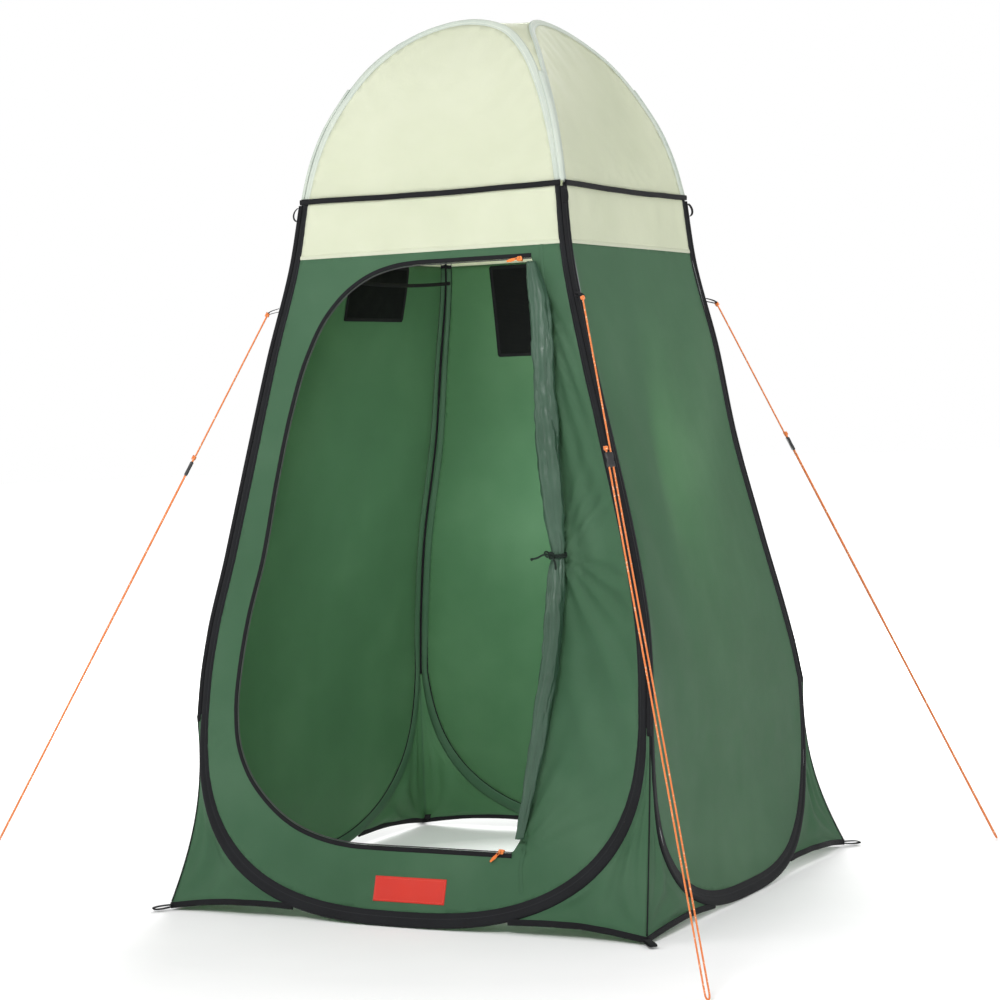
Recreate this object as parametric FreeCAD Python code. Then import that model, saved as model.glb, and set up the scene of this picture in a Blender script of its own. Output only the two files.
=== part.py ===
import FreeCAD, Part
import os, math

# Pop-up privacy shower tent.  Millimetres, +Z up, origin on the ground under
# the middle of the tent.  The door wall faces -Y.  Four tall closed spring
# hoops, one per wall, are sewn together along the corners and part at the
# bottom, where triangular gussets fill the gaps down to the peg loops.

V = FreeCAD.Vector
os.makedirs("parts", exist_ok=True)

# ---------------------------------------------------------------- dimensions
RING_Z = 1620.0          # bound seam between dome and walls
SEAM_Z = 1490.0          # seam between the pale band and the green wall
SPLIT_Z = 435.0          # below this adjacent hoops part company
# corner line: height, half width of the front, half depth, half width of back
CORNER = [
    (1620.0, 337.0, 337.0, 337.0),
    (1490.0, 354.0, 356.0, 345.0),
    (1250.0, 412.0, 391.0, 388.0),
    (1054.0, 462.0, 406.0, 418.0),
    (808.0, 522.0, 427.0, 473.0),
    (622.0, 560.0, 460.0, 511.0),
    (520.0, 570.0, 480.0, 529.0),
    (435.0, 573.0, 494.0, 540.0),
]
# wall plane below the split: height, front/back half depth, side half width
LOWER = [(435.0, 494.0, 556.0), (315.0, 517.0, 560.0), (215.0, 540.0, 566.0),
         (115.0, 568.0, 580.0), (0.0, 606.0, 606.0)]
# the shared ridge above the ring: height, distance from both centre planes
RIDGE = [(1620.0, 337.0), (1695.0, 323.0), (1775.0, 300.0), (1855.0, 264.0)]
# free part of each arch, as on the front: x, depth, height
ARCH_FREE = [(196.0, 220.0, 1932.0), (104.0, 160.0, 2002.0), (0.0, 137.0, 2024.0)]
N_FRONT = 2.6            # roundness of the front and back hoop bottoms
N_SIDE_F = 3.3           # side hoops, front half
N_SIDE_B = 2.5           # side hoops, back half

SLEEVE_TOP_W = 20.0      # sleeve width along the corners
SLEEVE_LOW_W = 34.0      # sleeve width along the ground
SLEEVE_H = 9.0           # sleeve thickness
SLOT = 6.4               # inside height of the sleeve
WEB = 3.0                # cloth at the fold of the sleeve
ARCH_W = 20.0            # arch sleeve width
ARCH_H = 8.0
CORNER_GAP = 5.5         # sleeve edge to corner line
WIRE_W = 6.0             # flat spring steel
WIRE_T = 1.6
WIRE_IN = 8.0            # wire centre to the folded edge of the sleeve
CLOTH = 1.2              # panel thickness
CLEAR = 0.3              # gap between neighbouring sewn layers
TUCK = 4.0               # panel edge inside the sleeve mouth

PEG = 600.0              # gusset corner, from both centre planes
PEG_Z = 12.0

# door opening in the front wall (x, z), clockwise from the top right corner
DOOR = [(266, 1458), (60, 1458), (-20, 1458), (-80, 1453), (-138, 1438),
        (-196, 1406), (-252, 1350), (-303, 1255), (-344, 1135), (-384, 973),
        (-419, 795), (-448, 670), (-464, 544), (-467, 444), (-455, 375),
        (-422, 310), (-372, 257), (-296, 207), (-217, 181), (-144, 170),
        (-70, 168), (40, 168), (266, 168),
        # hinge side, pulled in towards the corner by the tie
        (284, 205), (300, 280), (314, 360), (330, 460), (344, 580), (350, 690),
        (349, 806), (343, 880), (333, 980), (323, 1100), (315, 1230), (304, 1340),
        (290, 1395), (272, 1446)]
# left edge of the hinge seam's tape, and its width
HINGE = [(298, 70), (279, 168), (287, 205), (303, 280), (317, 360), (333, 460),
         (347, 580), (353, 690), (352, 806), (346, 880), (336, 980), (326, 1100),
         (318, 1230), (307, 1340), (293, 1395), (284, 1446), (286, 1480)]
HINGE_W = 8.0
LABEL = (-66.0, 112.0, 52.0, 105.0)      # x0, x1, z0, z1
WIN_LEFT = (-100.0, 172.0, 1350.0, 1484.0)   # y0, y1, z0, z1
WIN_BACK = (-215.0, 215.0, 1256.0, 1484.0)   # x0, x1, z0, z1
# gathered door leaf: height, left x, right x, depth out of the wall
BUNDLE = [(1446, 258, 284, 12), (1395, 264, 312, 26), (1340, 274, 330, 34),
          (1230, 284, 342, 38), (1100, 290, 352, 40), (980, 300, 362, 42),
          (880, 314, 368, 40), (832, 326, 366, 32), (814, 330, 364, 27), (798, 330, 364, 27),
          (776, 326, 368, 34), (690, 324, 371, 40), (580, 318, 365, 38),
          (460, 306, 349, 34), (360, 293, 332, 28), (280, 284, 314, 22),
          (205, 274, 296, 13)]
TIE_Z = 806.0
LEAF_OFF = 5.0           # back of the gathered leaf to the wall's middle

GUY_Z = 1372.0
# ground points of the guy lines: front left, front right, back right, back left
GUY_END = {"fl": (-970.0, -912.0), "fr": (908.0, -1004.0),
           "br": (930.0, 800.0), "bl": (-940.0, 880.0)}
GUY_D = 4.0
GUY_PITCH = 9.0          # between the two strands of the doubled part
TENS_AT = 0.255          # tensioner, as a fraction of the line from the top


# ------------------------------------------------------------------- helpers
def lerp(table, z, col):
    t = sorted(table)
    if z <= t[0][0]:
        return t[0][col]
    if z >= t[-1][0]:
        return t[-1][col]
    for p, q in zip(t[:-1], t[1:]):
        if p[0] <= z <= q[0]:
            k = (z - p[0]) / (q[0] - p[0])
            return p[col] + k * (q[col] - p[col])


def unit(v):
    return v * (1.0 / v.Length)


def solid_of(polys):
    """Closed solid from planar polygons given as lists of points."""
    faces = []
    for p in polys:
        pts = [q for i, q in enumerate(p) if (q - p[i - 1]).Length > 1e-6]
        if len(pts) < 3:
            continue
        faces.append(Part.Face(Part.makePolygon(pts + [pts[0]])))
    shell = Part.makeShell(faces)
    shell.sewShape()
    s = Part.makeSolid(shell)
    if s.Volume < 0:
        s.reverse()
    return s


def quad(a, b, c, d):
    """One planar quad, or two triangles where the four points aren't flat."""
    n = (c - a).cross(d - b)
    if n.Length < 1e-9:
        return [[a, b, c], [a, c, d]]
    n = unit(n)
    if abs((b - a).dot(n)) < 1e-5 and abs((d - a).dot(n)) < 1e-5 and abs((c - a).dot(n)) < 1e-5:
        return [[a, b, c, d]]
    return [[a, b, c], [a, c, d]]


def loft(sections, closed=False):
    """Facetted sweep through sections with the same number of points."""
    polys = []
    n = len(sections)
    m = len(sections[0])
    for k in range(n if closed else n - 1):
        A, B = sections[k], sections[(k + 1) % n]
        for i in range(m):
            j = (i + 1) % m
            polys += quad(A[i], A[j], B[j], B[i])
    if not closed:
        polys.append(list(reversed(sections[0])))
        polys.append(list(sections[-1]))
    return solid_of(polys)


def sheet(rows, off0, off1):
    """Thin panel through rows of two points each, between two offsets."""
    polys = []
    for R, S in zip(rows[:-1], rows[1:]):
        polys += quad(R[0] + off1, R[1] + off1, S[1] + off1, S[0] + off1)
        polys += quad(R[0] + off0, R[1] + off0, S[1] + off0, S[0] + off0)
        for k in (0, 1):
            polys += quad(R[k] + off0, R[k] + off1, S[k] + off1, S[k] + off0)
    for R in (rows[0], rows[-1]):
        if (R[0] - R[1]).Length > 1e-6:
            polys += quad(R[0] + off0, R[1] + off0, R[1] + off1, R[0] + off1)
    return solid_of(polys)


def box6(x0, x1, y0, y1, z0, z1):
    return Part.makeBox(x1 - x0, y1 - y0, z1 - z0, V(x0, y0, z0))


def prism_y(pts, y0, y1):
    """Prism along Y from an outline in x and z."""
    f = Part.Face(Part.makePolygon([V(x, y0, z) for x, z in pts + [pts[0]]]))
    return f.extrude(V(0, y1 - y0, 0))


def prism_x(pts, x0, x1):
    f = Part.Face(Part.makePolygon([V(x0, y, z) for y, z in pts + [pts[0]]]))
    return f.extrude(V(x1 - x0, 0, 0))


def rect(a0, a1, z0, z1):
    return [(a0, z0), (a1, z0), (a1, z1), (a0, z1)]


def grow(pts, d):
    """Outline moved outwards by d (inwards if negative)."""
    area = sum(pts[i - 1][0] * p[1] - p[0] * pts[i - 1][1] for i, p in enumerate(pts))
    sg = 1.0 if area > 0 else -1.0
    out = []
    n = len(pts)
    for i in range(n):
        a, b, c = pts[i - 1], pts[i], pts[(i + 1) % n]
        u = (b[0] - a[0], b[1] - a[1])
        w = (c[0] - b[0], c[1] - b[1])
        lu, lw = math.hypot(*u), math.hypot(*w)
        nu = (sg * u[1] / lu, -sg * u[0] / lu)
        nw = (sg * w[1] / lw, -sg * w[0] / lw)
        k = 1.0 + nu[0] * nw[0] + nu[1] * nw[1]
        out.append((b[0] + d * (nu[0] + nw[0]) / k, b[1] + d * (nu[1] + nw[1]) / k))
    return out


def join(solids):
    return Part.makeCompound(solids)


PRINTED = []


def save(name, shape):
    assert shape.isValid(), name
    shape.exportStep("parts/%s.step" % name)
    PRINTED.append((name, round(shape.Volume / 1000.0, 2), len(shape.Faces)))


# ------------------------------------------------------------ hoop centrelines
def superarc(w, zc, zb, n, angles):
    """Rounded hoop bottom: distance from the middle and height."""
    out = []
    for a in angles:
        c, s = math.cos(math.radians(a)), math.sin(math.radians(a))
        out.append((w * c ** (2.0 / n), zc - (zc - zb) * s ** (2.0 / n)))
    return out


ANG = [14.0, 30.0, 46.0, 60.0, 73.0, 83.0]
ZB = SLEEVE_LOW_W / 2.0


def width_at(z, arc):
    if not arc:
        return SLEEVE_TOP_W
    k = min(1.0, (SPLIT_Z - z) / 300.0)
    return SLEEVE_TOP_W + k * (SLEEVE_LOW_W - SLEEVE_TOP_W)


def half_lower(side, front):
    """Half of a hoop's corner and bottom, from the ring down to the middle.

    side is "wall" for the front and back hoops (runs along x) or "flank" for
    the left and right hoops (runs along y); front says which end it is.
    Each item is along, across, z, width, is_arc."""
    out = []
    w_end = {}
    for z, af, b, ab in CORNER:
        if side == "wall":
            along, across = (af if front else ab), b
        else:
            along, across = b, (af if front else ab)
        w = width_at(z, False)
        out.append((along - CORNER_GAP - w / 2.0, across, z, w, False))
    if side == "wall":
        w0, across0 = (573.0 if front else 540.0), 494.0
        n = N_FRONT
    else:
        w0, across0 = 494.0, (573.0 if front else 540.0)
        n = N_SIDE_F if front else N_SIDE_B
    for s, z in superarc(w0 - CORNER_GAP - SLEEVE_TOP_W / 2.0, SPLIT_Z, ZB, n, ANG):
        if side == "wall":
            across = lerp(LOWER, z, 1)
        else:
            t = 0.5 + 0.5 * s / w0 * (-1 if front else 1)
            k = max(0.0, (z / SPLIT_Z))
            across = lerp(LOWER, z, 2) + k * (573.0 + (540.0 - 573.0) * t - 556.0)
        out.append((s, across, z, width_at(z, True), True))
    # last station: straight bottom run on the ground
    out.append((70.0, lerp(LOWER, ZB, 1 if side == "wall" else 2), ZB, SLEEVE_LOW_W, True))
    return out


def place(side, sgn, along, across, z):
    """sgn is -1 for front/left and +1 for back/right."""
    if side == "wall":
        return V(along, sgn * across, z)
    return V(sgn * across, along, z)


def lower_path(side, sgn):
    """Stations from one ring corner down, round the bottom and up again."""
    if side == "wall":
        h = half_lower("wall", sgn < 0)
        a = [(place(side, sgn, -p[0], p[1], p[2]), p[3]) for p in h]
        b = [(place(side, sgn, p[0], p[1], p[2]), p[3]) for p in reversed(h)]
    else:
        hf, hb = half_lower("flank", True), half_lower("flank", False)
        a = [(place(side, sgn, -p[0], p[1], p[2]), p[3]) for p in hf]
        b = [(place(side, sgn, p[0], p[1], p[2]), p[3]) for p in reversed(hb)]
    return a + b


def upper_path(side, sgn):
    """Stations of the arch, from the -along corner over the top."""
    h = [(c - CORNER_GAP - ARCH_W / 2.0, c, z) for z, c in RIDGE]
    h += [(p[0], p[1], p[2]) for p in ARCH_FREE]
    a = [place(side, sgn, -p[0], p[1], p[2]) for p in h]
    b = [place(side, sgn, p[0], p[1], p[2]) for p in reversed(h[:-1])]
    return a + b


def out_normal(side, sgn):
    return V(0, sgn, 0) if side == "wall" else V(sgn, 0, 0)


ARCH_TILT = [0.0, 13.0, 26.0, 37.0, 43.0, 44.0, 44.0]


def arch_normal(side, sgn, tilt=44.0):
    n = out_normal(side, sgn)
    a = math.radians(tilt)
    return n * math.cos(a) + V(0, 0, math.sin(a))


def arch_tilt(i, count):
    return ARCH_TILT[min(i, count - 1 - i)]


def inward(points, n, closed):
    """Direction across the sleeve at each station, towards the panel."""
    m = len(points)
    mid = V(0, 0, 0)
    for p in points:
        mid = mid + p * (1.0 / m)
    out = []
    for i, p in enumerate(points):
        if closed:
            t = points[(i + 1) % m] - points[i - 1]
        elif i == 0:
            t = points[1] - points[0]
        elif i == m - 1:
            t = points[-1] - points[-2]
        else:
            t = unit(points[i + 1] - points[i]) + unit(points[i] - points[i - 1])
        t = t - n * t.dot(n)
        s = unit(n.cross(t))
        if s.dot(mid - p) < 0:
            s = s * -1.0
        out.append(s)
    return out


def csection(c, s, n, w, h, slot, web):
    a, b = w / 2.0, h / 2.0
    g = slot / 2.0
    return [c + s * x + n * y for x, y in
            [(-a, -b), (a, -b), (a, -g), (-a + web, -g), (-a + web, g), (a, g), (a, b), (-a, b)]]


def rsection(c, s, n, w, h):
    a, b = w / 2.0, h / 2.0
    return [c + s * x + n * y for x, y in [(-a, -b), (a, -b), (a, b), (-a, b)]]


HOOPS = [("front", "wall", -1), ("right", "flank", 1), ("back", "wall", 1), ("left", "flank", -1)]
edge_low, edge_up, outer_low, mid_low = {}, {}, {}, {}

for name, side, sgn in HOOPS:
    n0 = out_normal(side, sgn)
    n1 = arch_normal(side, sgn)
    lp = lower_path(side, sgn)
    pts = [p for p, w in lp]
    dirs = inward(pts, n0, False)
    # the end sections stay level, so that the ends meet the ring squarely
    flat = V(1, 0, 0) if side == "wall" else V(0, 1, 0)
    dirs[0], dirs[-1] = flat, flat * -1.0
    # the bottom run stands upright on the ground
    k0 = len(pts) // 2 - 1
    dirs[k0], dirs[k0 + 1] = V(0, 0, 1), V(0, 0, 1)
    secs = []
    for i, ((p, w), s) in enumerate(zip(lp, dirs)):
        q = V(p.x, p.y, p.z - (CLEAR if i in (0, len(lp) - 1) else 0.0))
        secs.append(csection(q, s, n0, w, SLEEVE_H, SLOT, WEB))
    save("hoop_sleeve_" + name, loft(secs))
    edge_low[name] = [p + s * (w / 2.0 - TUCK) for (p, w), s in zip(lp, dirs)]
    outer_low[name] = [p - s * (w / 2.0) for (p, w), s in zip(lp, dirs)]
    mid_low[name] = pts
    # arch sleeve
    up = upper_path(side, sgn)
    du = inward(up, n1, False)
    du[0], du[-1] = flat, flat * -1.0
    usecs = []
    for i, (p, s) in enumerate(zip(up, du)):
        q = V(p.x, p.y, p.z + (CLEAR if i in (0, len(up) - 1) else 0.0))
        nn = arch_normal(side, sgn, arch_tilt(i, len(up)))
        usecs.append(csection(q, s, nn, ARCH_W, ARCH_H, SLOT - 0.8, 1.5))
    save("arch_sleeve_" + name, loft(usecs))
    edge_up[name] = (up, du)
    # spring steel hoop: lower path (down, round, up) then back over the arch
    wl = [rsection(p - s * (w / 2.0 - WIRE_IN), s, n0, WIRE_W, WIRE_T) for (p, w), s in zip(lp, dirs)]
    wu = [rsection(p - s * (ARCH_W / 2.0 - WIRE_IN), s, arch_normal(side, sgn, arch_tilt(i, len(up))), WIRE_W, WIRE_T)
          for i, (p, s) in enumerate(zip(up, du))]
    wu = list(reversed(wu))[1:-1]
    hoop = loft(wl + wu, closed=True)
    # the two ends of the band butt inside the ferrule
    bottom = (pts[k0] + pts[k0 + 1]) * 0.5
    gap = 0.8
    if side == "wall":
        cut = box6(-gap / 2, gap / 2, bottom.y - 20, bottom.y + 20, 0, 60)
    else:
        cut = box6(bottom.x - 20, bottom.x + 20, -gap / 2, gap / 2, 0, 60)
    save("hoop_" + name, hoop.cut(cut))

# --------------------------------------------------------------- hoop ferrules
ferr = []
for name, side, sgn in HOOPS:
    pts = mid_low[name]
    k0 = len(pts) // 2 - 1
    c = (pts[k0] + pts[k0 + 1]) * 0.5
    c = V(c.x, c.y, c.z - SLEEVE_LOW_W / 2.0 + WIRE_IN)
    L, W, H = 50.0, 8.4, 4.6
    if side == "wall":
        o = box6(-L / 2, L / 2, c.y - H / 2, c.y + H / 2, c.z - W / 2, c.z + W / 2)
        i = box6(-L, L, c.y - 1.1, c.y + 1.1, c.z - 3.3, c.z + 3.3)
    else:
        o = box6(c.x - H / 2, c.x + H / 2, -L / 2, L / 2, c.z - W / 2, c.z + W / 2)
        i = box6(c.x - 1.1, c.x + 1.1, -L, L, c.z - 3.3, c.z + 3.3)
    ferr.append(o.cut(i))
save("hoop_ferrules", join(ferr))

# ------------------------------------------------------------------ wall panels
def rows_low(name, z_hi, z_lo):
    """Rows of two points across a panel, down from z_hi to z_lo or the bottom."""
    e = edge_low[name]
    m = len(e) // 2
    rows = [(e[i], e[len(e) - 1 - i]) for i in range(m)]
    out = []
    for R, S in zip(rows[:-1], rows[1:]):
        za, zb_ = R[0].z, S[0].z
        if za <= z_hi + 1e-6 and not out:
            out.append(R)
        if za > z_hi + 1e-6 > zb_:
            k = (z_hi - za) / (zb_ - za)
            out.append((R[0] + (S[0] - R[0]) * k, R[1] + (S[1] - R[1]) * k))
        if out and zb_ >= z_lo - 1e-6:
            out.append(S)
        elif out:
            k = (z_lo - za) / (zb_ - za)
            out.append((R[0] + (S[0] - R[0]) * k, R[1] + (S[1] - R[1]) * k))
            break
    # drop doubled rows
    clean = [out[0]]
    for R in out[1:]:
        if (R[0] - clean[-1][0]).Length > 0.5:
            clean.append(R)
    return clean


def panel(name, z_hi, z_lo, o0, o1):
    n0 = dict((a, out_normal(b, c)) for a, b, c in HOOPS)[name]
    return sheet(rows_low(name, z_hi, z_lo), n0 * o0, n0 * o1)


half = CLOTH / 2.0
walls = {}
for name, side, sgn in HOOPS:
    walls[name] = panel(name, SEAM_Z - CLEAR / 2, -99, -half, half)
    save("band_" + name, panel(name, RING_Z - CLEAR, SEAM_Z + CLEAR / 2, -half, half))

door_cut = prism_y(DOOR, -900, 0)
front = walls["front"].cut(door_cut)
save("wall_front", front)
save("wall_right", walls["right"])
wl = WIN_LEFT
save("wall_left", walls["left"].cut(prism_x(rect(wl[0] + 8, wl[1] - 8, wl[2] + 8, wl[3] - 8), -900, 0)))
wb = WIN_BACK
save("wall_back", walls["back"].cut(prism_y(rect(wb[0] + 8, wb[1] - 8, wb[2] + 8, wb[3] - 8), 0, 900)))

# mesh windows lie on the inside of their walls
i0, i1 = -half - CLEAR - 0.8, -half - CLEAR
save("window_mesh_left", panel("left", SEAM_Z - 2, 1240, i0, i1).common(prism_x(rect(*wl), -900, 0)))
save("window_mesh_back", panel("back", SEAM_Z - 2, 1150, i0, i1).common(prism_y(rect(*wb), 0, 900)))

# ------------------------------------------------------------------- door zip
o0, o1 = half + CLEAR, half + CLEAR + 0.9
tape_out = panel("front", SEAM_Z - 1, 40, o0, o1)
ring2 = prism_y(grow(DOOR, 11.0), -900, 0).cut(prism_y(grow(DOOR, 0.4), -900, 10))
keep_tape = box6(-900, 262, -900, 0, 0, 2000)
save("zip_tape", tape_out.common(ring2).common(keep_tape))
coil_sheet = panel("front", SEAM_Z - 1, 40, -1.1, 1.1)
ring3 = prism_y(grow(DOOR, -0.4), -900, 0).cut(prism_y(grow(DOOR, -3.4), -900, 10))
save("zip_coil", coil_sheet.common(ring3).common(keep_tape))

# hinge seam tape, along the hinge side of the opening and on to both hems
save("door_hinge_tape", panel("front", SEAM_Z - 4, 60, o0, o1).common(
    prism_y(HINGE + [(x + HINGE_W, z) for x, z in reversed(HINGE)], -900, 0)))

# plain label above the ground sleeve
save("label", panel("front", 300, 40, half + CLEAR, half + CLEAR + 1.0).common(
    prism_y(rect(*LABEL), -900, 0)))


# ------------------------------------------------------- wall plane of the front
def wall_y(z):
    """y of the front wall's middle surface at a height, as the panel's facets run."""
    rows = rows_low("front", SEAM_Z, -99)
    for R, S in zip(rows[:-1], rows[1:]):
        if S[0].z <= z <= R[0].z:
            k = (z - R[0].z) / (S[0].z - R[0].z)
            return R[0].y + k * (S[0].y - R[0].y)
    return rows[-1][0].y


def slope(z):
    """unit vectors up the wall and out of it, at a height on the front wall"""
    up = unit(V(0, wall_y(z + 2) - wall_y(z - 2), 4.0))
    return up, unit(V(1, 0, 0).cross(up))


# gathered door leaf, tied back against the wall
secs = []
for z, x0, x1, dpt in BUNDLE:
    y = wall_y(z) - LEAF_OFF
    cx, a, b = (x0 + x1) / 2.0, (x1 - x0) / 2.0, dpt / 2.0
    secs.append([V(cx + a * math.cos(math.radians(t)), y - b - b * math.sin(math.radians(t)), z)
                 for t in range(0, 360, 45)])
save("door_leaf", loft(secs))

# tie: a tape round the bundle with a bow knot in front
tz = TIE_Z
yb = wall_y(tz) - LEAF_OFF
ring_o, ring_i = [], []
cx, a, b = 347.0, 17.0, 13.5
TIE_T, TIE_W = 1.4, 10.0
outer = [V(cx + (a + 3.4) * math.cos(math.radians(t)), yb - b - (b + 2.4) * math.sin(math.radians(t)), tz - TIE_W / 2)
         for t in range(0, 360, 30)]
inner = [V(cx + (a + 1.9) * math.cos(math.radians(t)), yb - b - (b + 1.0) * math.sin(math.radians(t)), tz - TIE_W / 2)
         for t in range(0, 360, 30)]
loop = Part.Face(Part.makePolygon(outer + [outer[0]])).extrude(V(0, 0, TIE_W)).cut(
    Part.Face(Part.makePolygon(inner + [inner[0]])).extrude(V(0, 0, TIE_W)))
save("door_tie", loop)
kx, ky = cx - 6.0, yb - 2 * b - 2.4 - 0.3
knot = box6(kx - 7, kx + 7, ky - 9, ky, tz - 6, tz + 6)
tail1 = box6(kx - 40, kx - 7.3, ky - 3.0, ky - 1.6, tz - 4, tz + 4)
tail2 = box6(kx + 7.3, kx + 22, ky - 3.0, ky - 1.6, tz - 3, tz + 5)
save("door_tie_knot", join([knot, tail1, tail2]))


# ------------------------------------------------------------- zipper sliders
def to_wall(shape, x, z):
    """local x along the zip, y up the wall, z out of the wall -> tent frame"""
    up, n = slope(z)
    if n.y > 0:
        n = n * -1.0
    m = FreeCAD.Matrix(1, up.x, n.x, x, 0, up.y, n.y, wall_y(z), 0, up.z, n.z, z, 0, 0, 0, 1)
    s = shape.copy()
    s.transformShape(m)
    return s, up, n


def slider(flip):
    """slider body astride the coil; flip is +1 with the cloth above, -1 below"""
    f = flip
    fr = box6(-7, 7, -7, 4, 2.4, 4.2)
    bk = box6(-7, 7, -7, 1.5, -3.4, -1.8)
    br = box6(-5, 5, -7, -4.1, -3.4, 4.2)
    lug1 = box6(-2.0, 2.0, -4.4, -3.1, 4.2, 8.2)
    lug2 = box6(-2.0, 2.0, 1.1, 2.4, 4.2, 8.2)
    pin = Part.makeCylinder(0.6, 6.8, V(0, -4.4, 6.6), V(0, 1, 0))
    s = fr.fuse(bk).fuse(br).fuse(lug1).fuse(lug2).fuse(pin).removeSplitter()
    if f < 0:
        s = s.mirror(V(0, 0, 0), V(0, 1, 0))
    return s


def pull(flip, dx, dy):
    """pull: eye round the pin and a soft tab that lies at a slant"""
    eye = Part.makeCylinder(1.7, 3.4, V(0, -2.7, 6.6), V(0, 1, 0))
    arm = box6(-6, 0, -2.7, 0.7, 5.9, 7.3)
    hole = Part.makeCylinder(0.75, 8, V(0, -5, 6.6), V(0, 1, 0))
    L = math.hypot(dx, dy)
    ux, uy = dx / L, dy / L
    px, py = -uy, ux
    q = [(-5.0, -1.0), (-5.0 + dx, -1.0 + dy)]
    w = 3.6
    tab = Part.Face(Part.makePolygon([V(q[0][0] + px * w, q[0][1] + py * w, 5.8),
                                      V(q[1][0] + px * w, q[1][1] + py * w, 5.8),
                                      V(q[1][0] - px * w, q[1][1] - py * w, 5.8),
                                      V(q[0][0] - px * w, q[0][1] - py * w, 5.8),
                                      V(q[0][0] + px * w, q[0][1] + py * w, 5.8)])).extrude(V(0, 0, 1.6))
    s = eye.fuse(arm).fuse(tab).cut(hole).removeSplitter()
    if flip < 0:
        s = s.mirror(V(0, 0, 0), V(0, 1, 0))
    return s


for nm, flip, x, z, dx, dy in (("upper", 1, 238.0, 1458.0, -26.0, -5.0),
                               ("lower", -1, 240.0, 168.0, -20.0, 20.0)):
    s, up, n = to_wall(slider(flip), x, z)
    save("zip_slider_" + nm, s)
    p, up, n = to_wall(pull(flip, dx, dy), x, z)
    save("zip_pull_" + nm, p)
    pv = V(x, wall_y(z), z) + n * 6.6
    print("zip", nm, "pivot", [round(c / 1000.0, 6) for c in pv], "up", [round(c, 6) for c in up],
          "normal", [round(c, 6) for c in n])

# --------------------------------------------------------------- ring binding
ring = []
zr = RING_Z
af, b, ab = [lerp(CORNER, zr, i) for i in (1, 2, 3)]
inset = 5.5 + SLEEVE_TOP_W + 0.4
yo = SLEEVE_H / 2 + 1.8
for (x0, y0), (x1, y1), n in (((-af, -b), (af, -b), V(0, -1, 0)), ((-ab, b), (ab, b), V(0, 1, 0)),
                              ((-af, -b), (-ab, b), V(-1, 0, 0)), ((af, -b), (ab, b), V(1, 0, 0))):
    p, q = V(x0, y0, zr), V(x1, y1, zr)
    d = unit(q - p)
    p, q = p + d * 1.0 + n * yo, q - d * 1.0 + n * yo
    ring.append(loft([[p + V(0, 0, -6), p + n * 1.4 + V(0, 0, -6), p + n * 1.4 + V(0, 0, 6), p + V(0, 0, 6)],
                      [q + V(0, 0, -6), q + n * 1.4 + V(0, 0, -6), q + n * 1.4 + V(0, 0, 6), q + V(0, 0, 6)]]))
save("ring_binding", join(ring))

# ----------------------------------------------------------- corner bindings
CORNERS = {"fl": (-1, -1), "fr": (1, -1), "br": (1, 1), "bl": (-1, 1)}


def corner_xy(tag, z):
    sx, sy = CORNERS[tag]
    a = lerp(CORNER, z, 1 if sy < 0 else 3)
    return sx * a, sy * lerp(CORNER, z, 2)


binds = []
for tag, (sx, sy) in CORNERS.items():
    secs = []
    for z, af_, b_, ab_ in CORNER:
        zz = z - 8.0 if z == RING_Z else (z + 2.0 if z == SPLIT_Z else z)
        x, y = corner_xy(tag, zz)
        u0, u1 = 4.9, -4.5
        secs.append([V(x - sx * u0, y - sy * u0, zz), V(x - sx * u1, y - sy * u0, zz),
                     V(x - sx * u1, y - sy * u1, zz), V(x - sx * u0, y - sy * u1, zz)])
    binds.append(loft(secs))
save("corner_bindings", join(binds))

# ------------------------------------------------------------------ the dome
for name, side, sgn in HOOPS:
    up, du = edge_up[name]
    n0, n1 = out_normal(side, sgn), arch_normal(side, sgn)
    e = [p + s * (ARCH_W / 2.0 - TUCK) for p, s in zip(up, du)]
    e[0] = e[0] + V(0, 0, CLEAR)
    e[-1] = e[-1] + V(0, 0, CLEAR)
    m = len(e) // 2
    rows = [(e[i], e[len(e) - 1 - i]) for i in range(m)]
    # close at the top with a short level row under the arch's crown
    lo = e[m]
    last = rows[-1]
    k = 0.35
    rows.append((last[0] * k + lo * (1 - k), last[1] * k + lo * (1 - k)))
    fix = []
    for R in rows:
        fix.append(R)
    save("dome_panel_" + name, sheet(fix, n1 * -half, n1 * half))

# roof patch: level square between the four crowns and a gore to each corner
tops = {}
for name, side, sgn in HOOPS:
    up, du = edge_up[name]
    tops[name] = [p - s * (ARCH_W / 2.0 + CLEAR) for p, s in zip(up, du)]
patch = []
UPZ = V(0, 0, 1)
lift = 0.0
T = V(0, 0, CLOTH)


def tri_prism(a, b, c, t):
    return solid_of([[a, b, c], [a + t, c + t, b + t], [a, a + t, b + t, b],
                     [b, b + t, c + t, c], [c, c + t, a + t, a]])


def arch_pts(name, plus):
    t = tops[name]
    m = len(t) // 2
    half_ = t[m:] if plus else list(reversed(t[:m + 1]))
    return half_            # crown first, corner last


crown = {n: arch_pts(n, True)[0] for n, s, g in HOOPS}
pairs = {"fl": ("front", False, "left", False), "fr": ("front", True, "right", False),
         "br": ("back", True, "right", True), "bl": ("back", False, "left", True)}
SAG = 14.0
centre = V(0, 0, crown["front"].z - SAG)
mesh_pts, polys = [], []
tris = []
order = ["front", "right", "back", "left"]
gore = {}
for tag, (n1_, p1, n2_, p2) in pairs.items():
    A, B = arch_pts(n1_, p1), arch_pts(n2_, p2)
    A, B = A[:4], B[:4]
    gore[tag] = (A, B)
    # fan from the centre to the first points, then strips to the corner
    tris.append((centre, A[0], A[1]))
    tris.append((centre, A[1], B[1]))
    tris.append((centre, B[1], B[0]))
    for k in range(1, 3):
        tris.append((A[k], A[k + 1], B[k + 1]))
        tris.append((A[k], B[k + 1], B[k]))
# outer and inner skins plus the rim
polys = []
edges = {}


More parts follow.
